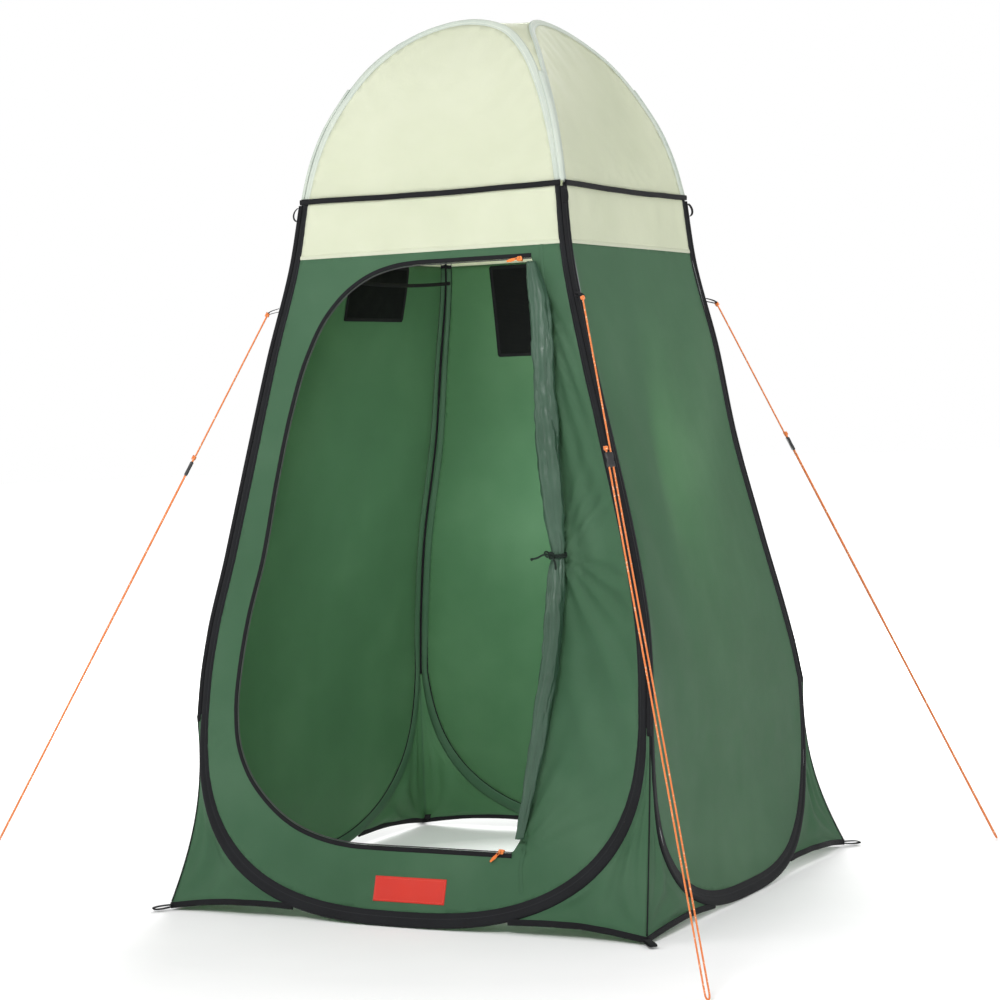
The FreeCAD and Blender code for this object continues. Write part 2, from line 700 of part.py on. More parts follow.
def key(p):
    return (round(p.x, 3), round(p.y, 3), round(p.z, 3))


for a, b_, c_ in tris:
    n = (b_ - a).cross(c_ - a)
    if n.z < 0:
        b_, c_ = c_, b_
    polys.append([a, b_, c_])
    polys.append([a + T, c_ + T, b_ + T])
    for p, q in ((a, b_), (b_, c_), (c_, a)):
        edges.setdefault(frozenset((key(p), key(q))), []).append((p, q))
for e in edges.values():
    if len(e) == 1:
        p, q = e[0]
        polys.append([p, p + T, q + T, q])
save("roof_patch", solid_of(polys))

# ------------------------------------------------------------------ gussets
# Two-piece corner gusset: from the sleeve's outer edge to a seam that runs
# from the split down to the peg corner.
hems = []
for tag, (sx, sy) in CORNERS.items():
    fx, fy = (573.0 if sy < 0 else 540.0), 494.0
    seam = [(1.0, V(sx * (fx + 3.0), sy * (fy + 3.0), SPLIT_Z - 6.0)),
            (0.0, V(sx * PEG, sy * PEG, PEG_Z))]
    # seam bows inwards between the split and the peg
    S = []
    for k in range(7):
        t = k / 6.0
        z = (SPLIT_Z - 6.0) * (1 - t) + PEG_Z * t
        bow = math.sin(math.pi * t ** 1.1) * 14.0
        flare = t ** 1.8
        x = (fx + 3.0) + (PEG - fx - 3.0) * flare - bow * 0.6
        y = (fy + 3.0) + (PEG - fy - 3.0) * flare - bow * 0.9
        S.append(V(sx * x, sy * y, z))
    parts = []
    for which in (0, 1):
        if which == 0:
            nm = "front" if sy < 0 else "back"
            o = outer_low[nm]
            h = o[:len(o) // 2] if sx < 0 else list(reversed(o))[:len(o) // 2]
            nrm = V(0, sy, 0)
        else:
            nm = "right" if sx > 0 else "left"
            o = outer_low[nm]
            h = o[:len(o) // 2] if sy < 0 else list(reversed(o))[:len(o) // 2]
            nrm = V(sx, 0, 0)
        # from the split to where the sleeve lies down
        h = h[7:13]
        rows = []
        cen = mid_low[nm]
        cen = cen[:len(cen) // 2] if ((sx < 0) if which == 0 else (sy < 0)) else list(reversed(cen))[:len(cen) // 2]
        cen = cen[7:13]
        h[0], cen[0] = h[0] + (h[1] - h[0]) * 0.06, cen[0] + (cen[1] - cen[0]) * 0.06
        h[5], cen[5] = (h[4] + h[5]) * 0.5, (cen[4] + cen[5]) * 0.5
        m = len(h)
        for k in range(m):
            away = unit(h[k] - cen[k])
            q = h[k] + away * 0.5
            t = k / float(m - 1) * 6.0
            i = min(5, int(t))
            f = t - i
            sp = S[i] * (1 - f) + S[i + 1] * f
            # keep the two halves apart at the seam
            sp = sp + (V(-sx * 0.9, 0, 0) if which == 0 else V(0, -sy * 0.9, 0))
            rows.append((q, sp))
        parts.append(sheet(rows, nrm * -half, nrm * half))
        # hem tape under the free lower edge
        a_, b_ = rows[-1]
        d = unit(b_ - a_)
        a2, b2 = a_ + d * 14.0, b_ - d * 3.0
        down0, down1 = V(0, 0, -0.8), V(0, 0, -9.0)
        sec = [[p + nrm * -1.2 + down0, p + nrm * 1.2 + down0, p + nrm * 1.2 + down1, p + nrm * -1.2 + down1]
               for p in (a2, b2)]
        hems.append(loft(sec))
    save("gusset_" + tag, join(parts))
save("gusset_hems", join(hems))

# ---------------------------------------------------------------- peg loops
LOOP_W, LOOP_L, LOOP_T, EYE = 15.0, 52.0, 1.6, 7.0
loops = []
for tag, (sx, sy) in CORNERS.items():
    d = V(sx, sy, 0) * (1 / math.sqrt(2.0))
    w = V(-sy, sx, 0) * (1 / math.sqrt(2.0))
    o = V(sx * (PEG + 1.2), sy * (PEG + 1.2), 0)
    prof = [(0, 0), (LOOP_L, 0), (LOOP_L + 3.0, 2.0), (LOOP_L + 3.0, EYE + 1.2), (LOOP_L, EYE + 3.2), (0, EYE + 3.2),
            (0, EYE + 3.2 - LOOP_T), (LOOP_L - 1, EYE + 3.2 - LOOP_T), (LOOP_L + 1.2, EYE + 1.0), (LOOP_L + 1.2, 2.4),
            (LOOP_L - 1, LOOP_T), (0, LOOP_T)]
    f = Part.Face(Part.makePolygon([o + d * p + V(0, 0, q) - w * (LOOP_W / 2) for p, q in prof + [prof[0]]]))
    loops.append(f.extrude(w * LOOP_W))
save("peg_loops", join(loops))

# ------------------------------------------------- tabs at the ring corners
tabs = []
for tag, (sx, sy) in CORNERS.items():
    x, y = corner_xy(tag, 1596.0)
    d = V(sx, sy, 0) * (1 / math.sqrt(2.0))
    w = V(-sy, sx, 0) * (1 / math.sqrt(2.0))
    o = V(x, y, 1596.0) + d * 7.2
    tabs.append(loft([[o - w * 6 + V(0, 0, 9), o + w * 6 + V(0, 0, 9), o + w * 6 + d * 1.8 + V(0, 0, 9), o - w * 6 + d * 1.8 + V(0, 0, 9)],
                      [o - w * 6 + d * 9 - V(0, 0, 14), o + w * 6 + d * 9 - V(0, 0, 14), o + w * 6 + d * 11 - V(0, 0, 12), o - w * 6 + d * 11 - V(0, 0, 12)]]))
save("ring_tabs", join(tabs))

# ---------------------------------------------------------------- guy lines
gtabs, knots = [], []
for tag, (sx, sy) in CORNERS.items():
    x, y = corner_xy(tag, GUY_Z)
    d = V(sx, sy, 0) * (1 / math.sqrt(2.0))
    w = V(-sy, sx, 0) * (1 / math.sqrt(2.0))
    o = V(x, y, GUY_Z) + d * 7.2
    TL = 20.0
    gtabs.append(loft([[o - w * 6 + V(0, 0, 2), o + w * 6 + V(0, 0, 2), o + w * 6 + V(0, 0, 0), o - w * 6 + V(0, 0, 0)],
                       [o - w * 6 + d * TL + V(0, 0, 1), o + w * 6 + d * TL + V(0, 0, 1), o + w * 6 + d * TL + V(0, 0, -1), o - w * 6 + d * TL + V(0, 0, -1)]]))
    A0 = o + d * (TL + 0.3)                       # top knot starts here
    gx, gy = GUY_END[tag]
    G = V(gx, gy, 6.9)
    hdir = V(gx - A0.x, gy - A0.y, 0)
    side_ = unit(V(-hdir.y, hdir.x, 0))
    line = unit(G + side_ * (GUY_PITCH / 2) - (A0 + V(0, 0, -2)))
    K = A0 + V(0, 0, -2) + line * 5.0             # middle of the top knot
    # the knot is a short barrel in line with the cord
    kn = Part.makeCylinder(4.0, 9.0, K - line * 0.0, line)
    A = K + line * 9.0                            # cord starts at the knot's face
    G1 = G + side_ * (GUY_PITCH / 2)
    line = unit(G1 - A)
    kn = Part.makeCylinder(4.0, 9.0, A - line * 9.0, line)
    across = unit(line.cross(V(0, 0, 1)))
    if across.dot(side_) < 0:
        across = across * -1.0
    G2 = G1 - across * GUY_PITCH
    # strand 1, half turn round the peg's place, strand 2
    L1 = (G1 - A).Length
    B = G2 - line * (L1 * (1.0 - TENS_AT) + 24.0)
    tip = (G1 + G2) * 0.5 + line * (GUY_PITCH / 2)
    e1 = Part.LineSegment(A, G1).toShape()
    e2 = Part.Arc(G1, tip, G2).toShape()
    e3 = Part.LineSegment(G2, B).toShape()
    wire = Part.Wire([e1, e2, e3])
    prof = Part.Wire([Part.Circle(A, line, GUY_D / 2).toShape()])
    tube = wire.makePipeShell([prof], True, False)
    sec = math.pi * (GUY_D / 2) ** 2
    print("guy", tag, "A", [round(c / 1000, 5) for c in A], "G1", [round(c / 1000, 5) for c in G1],
          "tip", [round(c / 1000, 5) for c in tip],
          "G2", [round(c / 1000, 5) for c in G2], "B", [round(c / 1000, 5) for c in B],
          "length", round(wire.Length, 1), "volume/section", round(tube.Volume / sec, 1),
          "bend radius", GUY_PITCH / 2, "lowest", round(tube.BoundBox.ZMin, 3))
    save("guy_line_" + tag, tube)
    knots.append(kn)
    knots.append(Part.makeCylinder(4.2, 8.0, B - line * 8.0, line))
    # tensioner: flat slider with two holes along the cord
    Tm = G1 - line * (L1 * (1.0 - TENS_AT)) - across * (GUY_PITCH / 2)
    TW, TT, TLn = 19.0, 7.0, 36.0
    third = unit(line.cross(across))
    c0 = Tm - line * (TLn / 2)

    def tpt(a_, b_, l_):
        return c0 + across * a_ + third * b_ + line * l_
    body = loft([[tpt(-TW / 2, -TT / 2, 0), tpt(TW / 2, -TT / 2, 0), tpt(TW / 2, TT / 2, 0), tpt(-TW / 2, TT / 2, 0)],
                 [tpt(-TW / 2, -TT / 2, TLn), tpt(TW / 2, -TT / 2, TLn), tpt(TW / 2, TT / 2, TLn), tpt(-TW / 2, TT / 2, TLn)]])
    for sg in (-1, 1):
        body = body.cut(Part.makeCylinder(2.5, TLn + 10, tpt(sg * GUY_PITCH / 2, 0, -5), line))
    save("tensioner_" + tag, body)
    print("  tensioner", tag, "centre", [round(c / 1000, 5) for c in Tm], "line", [round(c, 6) for c in line])
save("guy_tabs", join(gtabs))
save("guy_knots", join(knots))

# --------------------------------------------------------------- towel strap
ps = [V(-318.0, -322.0, 1452.0), V(-312.0, 0.0, 1441.0), V(-312.0, 322.0, 1446.0)]
secs = [[p + V(-0.8, 0, -4), p + V(0.8, 0, -4), p + V(0.8, 0, 4), p + V(-0.8, 0, 4)] for p in ps]
save("towel_strap", loft(secs))

for row in PRINTED:
    print("%-24s %10.2f cm3 %5d faces" % row)
print(len(PRINTED), "nodes")
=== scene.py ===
import bpy, bmesh, json, math, random
import numpy as np
from mathutils import Vector, Matrix
from mathutils.geometry import delaunay_2d_cdt


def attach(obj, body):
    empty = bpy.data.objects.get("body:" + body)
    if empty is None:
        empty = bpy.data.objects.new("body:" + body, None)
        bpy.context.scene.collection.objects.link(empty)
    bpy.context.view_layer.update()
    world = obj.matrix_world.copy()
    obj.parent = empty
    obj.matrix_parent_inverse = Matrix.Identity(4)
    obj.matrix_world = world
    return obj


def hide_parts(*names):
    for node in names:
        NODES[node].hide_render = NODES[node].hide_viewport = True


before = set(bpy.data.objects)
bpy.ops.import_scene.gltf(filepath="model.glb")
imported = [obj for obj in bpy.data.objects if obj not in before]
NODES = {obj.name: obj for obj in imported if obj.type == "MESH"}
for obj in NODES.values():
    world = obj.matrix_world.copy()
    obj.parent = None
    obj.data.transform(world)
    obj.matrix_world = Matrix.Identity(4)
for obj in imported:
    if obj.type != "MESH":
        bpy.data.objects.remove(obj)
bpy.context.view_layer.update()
rng = np.random.default_rng(7)

# =====================================================================
#  Numbers shared with the CAD model, in metres
# =====================================================================
RING_Z, SEAM_Z, SPLIT_Z = 1.620, 1.490, 0.435
CORNER = np.array([
    (1.620, .337, .337, .337), (1.490, .354, .356, .345), (1.250, .412, .391, .388),
    (1.054, .462, .406, .418), (0.808, .522, .427, .473), (0.622, .560, .460, .511),
    (0.520, .570, .480, .529), (0.435, .573, .494, .540)])
LOWER = np.array([(0.435, .494, .556), (0.315, .517, .560), (0.215, .540, .566),
                  (0.115, .568, .580), (0.0, .606, .606)])
RIDGE = np.array([(1.620, .337), (1.695, .323), (1.775, .300), (1.855, .264)])
ARCH_FREE = np.array([(.196, .220, 1.932), (.104, .160, 2.002), (0.0, .137, 2.024)])
N_FRONT, N_SIDE_F, N_SIDE_B = 2.6, 3.3, 2.5
GAP = .0055
PEG = .600
DOOR = [(.266, 1.458), (.060, 1.458), (-.020, 1.458), (-.080, 1.453), (-.138, 1.438),
        (-.196, 1.406), (-.252, 1.350), (-.303, 1.255), (-.344, 1.135), (-.384, .973),
        (-.419, .795), (-.448, .670), (-.464, .544), (-.467, .444), (-.455, .375),
        (-.422, .310), (-.372, .257), (-.296, .207), (-.217, .181), (-.144, .170),
        (-.070, .168), (.040, .168), (.266, .168)]
LABEL = (-.066, .112, .052, .105)
WIN_LEFT = (-.100, .172, 1.350, 1.484)
WIN_BACK = (-.215, .215, 1.256, 1.484)
BUNDLE = [(1.446, .258, .284, .012), (1.395, .264, .312, .026), (1.340, .274, .330, .034),
          (1.230, .284, .342, .038), (1.100, .290, .352, .040), (.980, .300, .362, .042),
          (.880, .314, .368, .040), (.832, .326, .366, .032), (.814, .330, .364, .027),
          (.798, .330, .364, .027), (.776, .326, .368, .034), (.690, .324, .371, .040),
          (.580, .318, .365, .038), (.460, .306, .349, .034), (.360, .293, .332, .028),
          (.280, .284, .314, .022), (.205, .274, .296, .013)]
TIE_Z = .806


def pchip(xs, ys):
    """Smooth curve through points, with no overshoot.  xs rising."""
    xs, ys = np.asarray(xs, float), np.asarray(ys, float)
    h, d = np.diff(xs), np.diff(ys) / np.diff(xs)
    m = np.zeros_like(xs)
    for i in range(1, len(xs) - 1):
        if d[i - 1] * d[i] > 0:
            w1, w2 = 2 * h[i] + h[i - 1], h[i] + 2 * h[i - 1]
            m[i] = (w1 + w2) / (w1 / d[i - 1] + w2 / d[i])
    m[0], m[-1] = d[0], d[-1]

    def f(x):
        x = np.clip(np.asarray(x, float), xs[0], xs[-1])
        i = np.clip(np.searchsorted(xs, x) - 1, 0, len(xs) - 2)
        t = (x - xs[i]) / h[i]
        return ((2 * t**3 - 3 * t**2 + 1) * ys[i] + (t**3 - 2 * t**2 + t) * h[i] * m[i]
                + (-2 * t**3 + 3 * t**2) * ys[i + 1] + (t**3 - t**2) * h[i] * m[i + 1])
    return f


cz = CORNER[::-1, 0]
c_af, c_b, c_ab = [pchip(cz, CORNER[::-1, k]) for k in (1, 2, 3)]
low_y = pchip(LOWER[::-1, 0], LOWER[::-1, 1])
low_x = pchip(LOWER[::-1, 0], LOWER[::-1, 2])


def wall_depth(z):
    """Distance of the front and back walls from the middle, at a height."""
    z = np.asarray(z, float)
    return np.where(z >= SPLIT_Z, c_b(z), low_y(z))


def flank_depth(y, z):
    """Distance of the side walls from the middle, at a place along and a height."""
    y, z = np.asarray(y, float), np.asarray(z, float)
    zz = np.maximum(z, SPLIT_Z)
    b = c_b(zz)
    t = np.clip(0.5 + 0.5 * y / b, 0, 1)
    up = c_af(zz) * (1 - t) + c_ab(zz) * t
    k = np.clip(z / SPLIT_Z, 0, 1)
    dn = low_x(z) + k * (.573 + (.540 - .573) * t - .556)
    return np.where(z >= SPLIT_Z, up, dn)


def surf(name, a, z, off=0.0):
    """Point on a wall: a runs along it, z up; off is outwards."""
    a, z = np.asarray(a, float), np.asarray(z, float)
    if name == "front":
        return np.stack([a, -(wall_depth(z) + off), z], -1)
    if name == "back":
        return np.stack([a, wall_depth(z) + off, z], -1)
    if name == "right":
        return np.stack([flank_depth(a, z) + off, a, z], -1)
    return np.stack([-(flank_depth(a, z) + off), a, z], -1)


def smoothstep(x, a, b):
    t = np.clip((x - a) / (b - a), 0, 1)
    return t * t * (3 - 2 * t)


def sleeve_w(z):
    top = .020 - .0062 * np.clip((z - 1.00) / .62, 0, 1)
    return np.where(z >= SPLIT_Z, top, .020 + np.clip((SPLIT_Z - z) / .3, 0, 1) * .014)


def hoop_2d(name, n_corner=90, n_arc=80):
    """Centre line of a lower hoop in the wall's own plane (along, z), from the
    ring at the minus end, round the bottom, to the ring at the plus end."""
    halves = []
    for end in (-1, 1):
        z = np.linspace(RING_Z, SPLIT_Z, n_corner)
        if name in ("front", "back"):
            c = (c_af if name == "front" else c_ab)(z)
            w0, n = (.573 if name == "front" else .540), N_FRONT
        else:
            c = c_b(z)
            w0, n = .494, (N_SIDE_F if end < 0 else N_SIDE_B)
        a = c - GAP - sleeve_w(z) / 2
        th = np.linspace(0, math.pi / 2, n_arc)[1:]
        wa = w0 - GAP - .010
        s = wa * np.cos(th) ** (2 / n)
        zz = SPLIT_Z - (SPLIT_Z - .017) * np.sin(th) ** (2 / n)
        halves.append(np.stack([end * np.r_[a, s], np.r_[z, zz]], 1))
    p = np.concatenate([halves[0], halves[1][::-1][1:]])
    return resample(p, .009)


def resample(p, step=None, n=None):
    p = np.asarray(p, float)
    d = np.r_[0, np.cumsum(np.linalg.norm(np.diff(p, axis=0), axis=1))]
    if n is None:
        n = max(3, int(round(d[-1] / step)) + 1)
    t = np.linspace(0, d[-1], n)
    return np.stack([np.interp(t, d, p[:, k]) for k in range(p.shape[1])], 1)


def smooth_line(p, n=3):
    p = p.copy()
    for _ in range(n):
        p[1:-1] = .25 * p[:-2] + .5 * p[1:-1] + .25 * p[2:]
    return p


def frame_2d(p):
    """Unit tangents and inward normals of a hoop line in its wall's plane."""
    t = np.gradient(p, axis=0)
    t /= np.linalg.norm(t, axis=1)[:, None]
    s = np.stack([-t[:, 1], t[:, 0]], 1)
    return t, s


def arch_line(name):
    """Centre line of an arch over the dome, as 3-D points from the minus end."""
    pts = [(c - GAP - .010, c, z) for z, c in RIDGE] + [tuple(p) for p in ARCH_FREE]
    pts = np.array([(-a, b, z) for a, b, z in pts] + [(a, b, z) for a, b, z in pts[-2::-1]])
    d = np.r_[0, np.cumsum(np.linalg.norm(np.diff(pts, axis=0), axis=1))]
    t = np.linspace(0, d[-1], 141)
    # Catmull-Rom through the points
    out = []
    for x in t:
        i = min(max(np.searchsorted(d, x) - 1, 0), len(d) - 2)
        p0 = pts[max(i - 1, 0)] if i > 0 else 2 * pts[0] - pts[1]
        p1, p2 = pts[i], pts[i + 1]
        p3 = pts[i + 2] if i + 2 < len(pts) else 2 * pts[-1] - pts[-2]
        if i == 0:
            p0 = p1 - (p2 - p1)
        h = d[i + 1] - d[i]
        u = (x - d[i]) / h
        h0 = np.linalg.norm(p1 - p0)
        h2 = np.linalg.norm(p3 - p2)
        m1 = ((p2 - p1) / h * h0 + (p1 - p0) / h0 * h) / (h0 + h) * h
        m2 = ((p3 - p2) / h2 * h + (p2 - p1) / h * h2) / (h + h2) * h
        out.append((2 * u**3 - 3 * u**2 + 1) * p1 + (u**3 - 2 * u**2 + u) * m1
                   + (-2 * u**3 + 3 * u**2) * p2 + (u**3 - u**2) * m2)
    p = np.array(out)
    return to_side(name, p)


def to_side(name, p):
    """(along, out, z) to the tent's frame for a wall's name."""
    a, b, z = p[:, 0], p[:, 1], p[:, 2]
    if name == "front":
        return np.stack([a, -b, z], 1)
    if name == "back":
        return np.stack([a, b, z], 1)
    if name == "right":
        return np.stack([b, a, z], 1)
    return np.stack([-b, a, z], 1)


def side_vec(name, along, out, up):
    return to_side(name, np.array([[along, out, up]], float))[0]


# =====================================================================
#  Noise
# =====================================================================
class Noise:
    """Smooth value noise on a plane, seeded."""
    def __init__(self, seed):
        self.g = np.random.default_rng(seed).uniform(-1, 1, (64, 64))

    def __call__(self, x, y):
        x, y = np.asarray(x, float), np.asarray(y, float)
        xi, yi = np.floor(x).astype(int), np.floor(y).astype(int)
        fx, fy = x - xi, y - yi
        fx, fy = fx * fx * (3 - 2 * fx), fy * fy * (3 - 2 * fy)
        g = self.g
        a = g[xi % 64, yi % 64] * (1 - fx) + g[(xi + 1) % 64, yi % 64] * fx
        b = g[xi % 64, (yi + 1) % 64] * (1 - fx) + g[(xi + 1) % 64, (yi + 1) % 64] * fx
        return a * (1 - fy) + b * fy


def fan(a, z, ca, cz_, reach, folds, amp, lo, hi, seed, r0=.03):
    """Folds that fan out from a point, between two directions (degrees)."""
    dx, dz = a - ca, z - cz_
    r = np.hypot(dx, dz)
    th = np.degrees(np.arctan2(dz, dx))
    th = np.where(th < lo - 180, th + 360, th)
    th = np.where(th > hi + 180, th - 360, th)
    k = (th - lo) / (hi - lo)
    inside = np.clip(k / .15, 0, 1) * np.clip((1 - k) / .15, 0, 1)
    n = Noise(seed)
    w = np.sin(k * folds * 2 * math.pi + 1.3 * n(r * 5, k * 3)) * (.65 + .35 * n(k * 7, r * 3))
    w = np.sign(w) * np.abs(w) ** 1.25
    env = np.clip(r / r0, 0, 1) * np.exp(-(r / reach) ** 1.6)
    # folds widen with distance, so their height falls off slower than their slope
    return amp * w * inside * env


# =====================================================================
#  Mesh helpers
# =====================================================================
def link(name, verts, faces, smooth=True, uv=None, body="tent", mat=None):
    me = bpy.data.meshes.new(name)
    me.from_pydata([tuple(map(float, v)) for v in verts], [], [tuple(int(i) for i in f) for f in faces])
    me.update()
    if uv is not None:
        lay = me.uv_layers.new(name="UVMap")
        idx = np.zeros(len(me.loops), np.int32)
        me.loops.foreach_get("vertex_index", idx)
        lay.data.foreach_set("uv", np.asarray(uv, np.float32)[idx].ravel())
    me.polygons.foreach_set("use_smooth", [smooth] * len(me.polygons))
    o = bpy.data.objects.new(name, me)
    bpy.context.scene.collection.objects.link(o)
    if mat is not None:
        me.materials.append(mat)
    return o


def fix_normals(o):
    bm = bmesh.new()
    bm.from_mesh(o.data)
    bmesh.ops.recalc_face_normals(bm, faces=bm.faces)
    bm.to_mesh(o.data)
    bm.free()
    return o


def merge(o, dist=1e-5):
    bm = bmesh.new()
    bm.from_mesh(o.data)
    bmesh.ops.remove_doubles(bm, verts=bm.verts, dist=dist)
    bm.to_mesh(o.data)
    bm.free()
    return o


def solidify(o, t, offset=0.0):
    m = o.modifiers.new("cloth_thickness", "SOLIDIFY")
    m.thickness = t
    m.offset = offset
    m.use_even_offset = False
    return apply_mods(o)


def subsurf(o, n=1):
    m = o.modifiers.new("smooth", "SUBSURF")
    m.levels = m.render_levels = n
    return apply_mods(o)


def bevel(o, w, seg=2, angle=30):
    m = o.modifiers.new("edges", "BEVEL")
    m.width = w
    m.segments = seg
    m.limit_method = "ANGLE"
    m.angle_limit = math.radians(angle)
    return apply_mods(o)


def apply_mods(o):
    bpy.context.view_layer.update()
    dg = bpy.context.evaluated_depsgraph_get()
    me = bpy.data.meshes.new_from_object(o.evaluated_get(dg), preserve_all_data_layers=True, depsgraph=dg)
    old = o.data
    o.modifiers.clear()
    o.data = me
    bpy.data.meshes.remove(old)
    return o


def join_objs(name, objs):
    for o in bpy.context.selected_objects:
        o.select_set(False)
    for o in objs:
        o.select_set(True)
    bpy.context.view_layer.objects.active = objs[0]
    bpy.ops.object.join()
    o = bpy.context.view_layer.objects.active
    o.name = name
    o.data.name = name
    return o


def tube_sections(name, secs, closed=False, caps=True, mat=None, uv=None, smooth=True):
    """Mesh through sections, an array of (stations, points, 3)."""
    S = np.asarray(secs, float)
    n, m = S.shape[:2]
    faces = []
    for k in range(n if closed else n - 1):
        a, b = k * m, ((k + 1) % n) * m
        for i in range(m):
            j = (i + 1) % m
            faces.append((a + i, a + j, b + j, b + i))
    if caps and not closed:
        faces.append(tuple(range(m - 1, -1, -1)))
        faces.append(tuple(range((n - 1) * m, n * m)))
    o = link(name, S.reshape(-1, 3), faces, smooth=smooth, uv=uv, mat=mat)
    return fix_normals(o)


def inside_poly(p, poly):
    x, y = p[:, 0], p[:, 1]
    px, py = poly[:, 0], poly[:, 1]
    qx, qy = np.roll(px, 1), np.roll(py, 1)
    c = np.zeros(len(p), bool)
    for i in range(len(poly)):
        hit = (py[i] > y) != (qy[i] > y)
        with np.errstate(divide="ignore", invalid="ignore"):
            xx = (qx[i] - px[i]) * (y - py[i]) / (qy[i] - py[i]) + px[i]
        c ^= hit & (x < xx)
    return c


def dist_poly(p, poly, closed=True):
    """Distance from points to an outline."""
    a = poly
    b = np.roll(poly, -1, axis=0) if closed else poly[1:]
    if not closed:
        a = poly[:-1]
    best = np.full(len(p), 1e9)
    for i in range(len(b)):
        d = b[i] - a[i]
        L = d @ d
        if L < 1e-16:
            continue
        t = np.clip(((p - a[i]) @ d) / L, 0, 1)
        q = a[i] + t[:, None] * d
        best = np.minimum(best, np.hypot(*(p - q).T))
    return best


def fill_2d(outline, holes=(), step=.011):
    """Triangulated sheet inside an outline, with its own even points inside."""
    loops = [resample(np.vstack([outline, outline[:1]]), step)[:-1]]
    loops += [resample(np.vstack([h, h[:1]]), step)[:-1] for h in holes]
    lo, hi = outline.min(0), outline.max(0)
    xs = np.arange(lo[0], hi[0] + step, step)
    ys = np.arange(lo[1], hi[1] + step, step * .866)
    g = np.array([(x + (.5 * step if j % 2 else 0), y) for j, y in enumerate(ys) for x in xs])
    g = g + np.random.default_rng(3).uniform(-.12, .12, g.shape) * step
    keep = inside_poly(g, loops[0])
    for h in loops[1:]:
        keep &= ~inside_poly(g, h)
    g = g[keep]
    for L in loops:
        g = g[dist_poly(g, L) > .6 * step]
    pts, edges, base = [], [], 0
    for L in loops:
        pts.append(L)
        n = len(L)
        edges += [(base + i, base + (i + 1) % n) for i in range(n)]
        base += n
    allp = np.vstack(pts + [g])
    v, e, f, *_ = delaunay_2d_cdt([Vector(p) for p in allp], edges, [], 0, 1e-7, False)
    v = np.array([tuple(p) for p in v])
    f = np.array(f)
    c = v[f].mean(1)
    ok = inside_poly(c, loops[0])
    for h in loops[1:]:
        ok &= ~inside_poly(c, h)
    f = f[ok]
    used, inv = np.unique(f, return_inverse=True)
    v, f = v[used], inv.reshape(-1, 3)
    border = np.zeros(len(v), bool)
    for L in loops:
        border |= dist_poly(v, L) < 1e-6
    return v, f, border


# =====================================================================
#  Materials
# =====================================================================
def nodes_of(name):
    m = bpy.data.materials.new(name)
    m.use_nodes = True
    nt = m.node_tree
    nt.nodes.clear()
    out = nt.nodes.new("ShaderNodeOutputMaterial")
    p = nt.nodes.new("ShaderNodeBsdfPrincipled")
    nt.links.new(p.outputs[0], out.inputs[0])
    return m, nt, p, out


def N(nt, kind, **kw):
    n = nt.nodes.new(kind)
    for k, v in kw.items():
        if k in n.inputs and not hasattr(n, k):
            n.inputs[k].default_value = v
        else:
            setattr(n, k, v)
    return n


def noise_node(nt, vec, scale, detail=2.0, rough=.5, dist=0.0):
    n = nt.nodes.new("ShaderNodeTexNoise")
    n.inputs["Scale"].default_value = scale
    n.inputs["Detail"].default_value = detail
    n.inputs["Roughness"].default_value = rough
    n.inputs["Distortion"].default_value = dist
    nt.links.new(vec, n.inputs["Vector"])
    return n


def wave_node(nt, vec, scale, direction="X", dist=0.0, dscale=1.0):
    n = nt.nodes.new("ShaderNodeTexWave")
    n.wave_type = "BANDS"
    n.bands_direction = direction
    n.wave_profile = "SIN"
    n.inputs["Scale"].default_value = scale
    n.inputs["Distortion"].default_value = dist
    n.inputs["Detail"].default_value = 1.0
    n.inputs["Detail Scale"].default_value = dscale
    nt.links.new(vec, n.inputs["Vector"])
    return n


def mathn(nt, op, a, b=None, clamp=False):
    n = nt.nodes.new("ShaderNodeMath")
    n.operation = op
    n.use_clamp = clamp
    for i, x in enumerate((a, b)):
        if x is None:
            continue
        if isinstance(x, (int, float)):
            n.inputs[i].default_value = x
        else:
            nt.links.new(x, n.inputs[i])
    return n.outputs[0]


def ramp(nt, fac, stops):
    n = nt.nodes.new("ShaderNodeValToRGB")
    e = n.color_ramp.elements
    while len(e) < len(stops):
        e.new(.5)
    for el, (pos, col) in zip(e, stops):
        el.position = pos
        el.color = (*col, 1) if len(col) == 3 else col
    nt.links.new(fac, n.inputs[0])
    return n.outputs[0]


def maprange(nt, x, a, b, c, d):
    n = nt.nodes.new("ShaderNodeMapRange")
    nt.links.new(x, n.inputs[0])
    for i, v in enumerate((a, b, c, d)):
        n.inputs[i + 1].default_value = v
    return n.outputs[0]


def mix_col(nt, fac, a, b, mode="MIX"):
    n = nt.nodes.new("ShaderNodeMix")
    n.data_type = "RGBA"
    n.blend_type = mode
    for i, x in ((0, fac), (6, a), (7, b)):
        if isinstance(x, (int, float)):
            n.inputs[i].default_value = x
        elif isinstance(x, tuple):
            n.inputs[i].default_value = (*x, 1) if len(x) == 3 else x
        else:
            nt.links.new(x, n.inputs[i])
    return n.outputs[2]


def bump(nt, p, height, strength=.3, dist=.001, normal=None):
    n = nt.nodes.new("ShaderNodeBump")
    n.inputs["Strength"].default_value = strength
    n.inputs["Distance"].default_value = dist
    nt.links.new(height, n.inputs["Height"])
    if normal is not None:
        nt.links.new(normal, n.inputs["Normal"])
    if p is not None:
        nt.links.new(n.outputs[0], p.inputs["Normal"])
    return n.outputs[0]


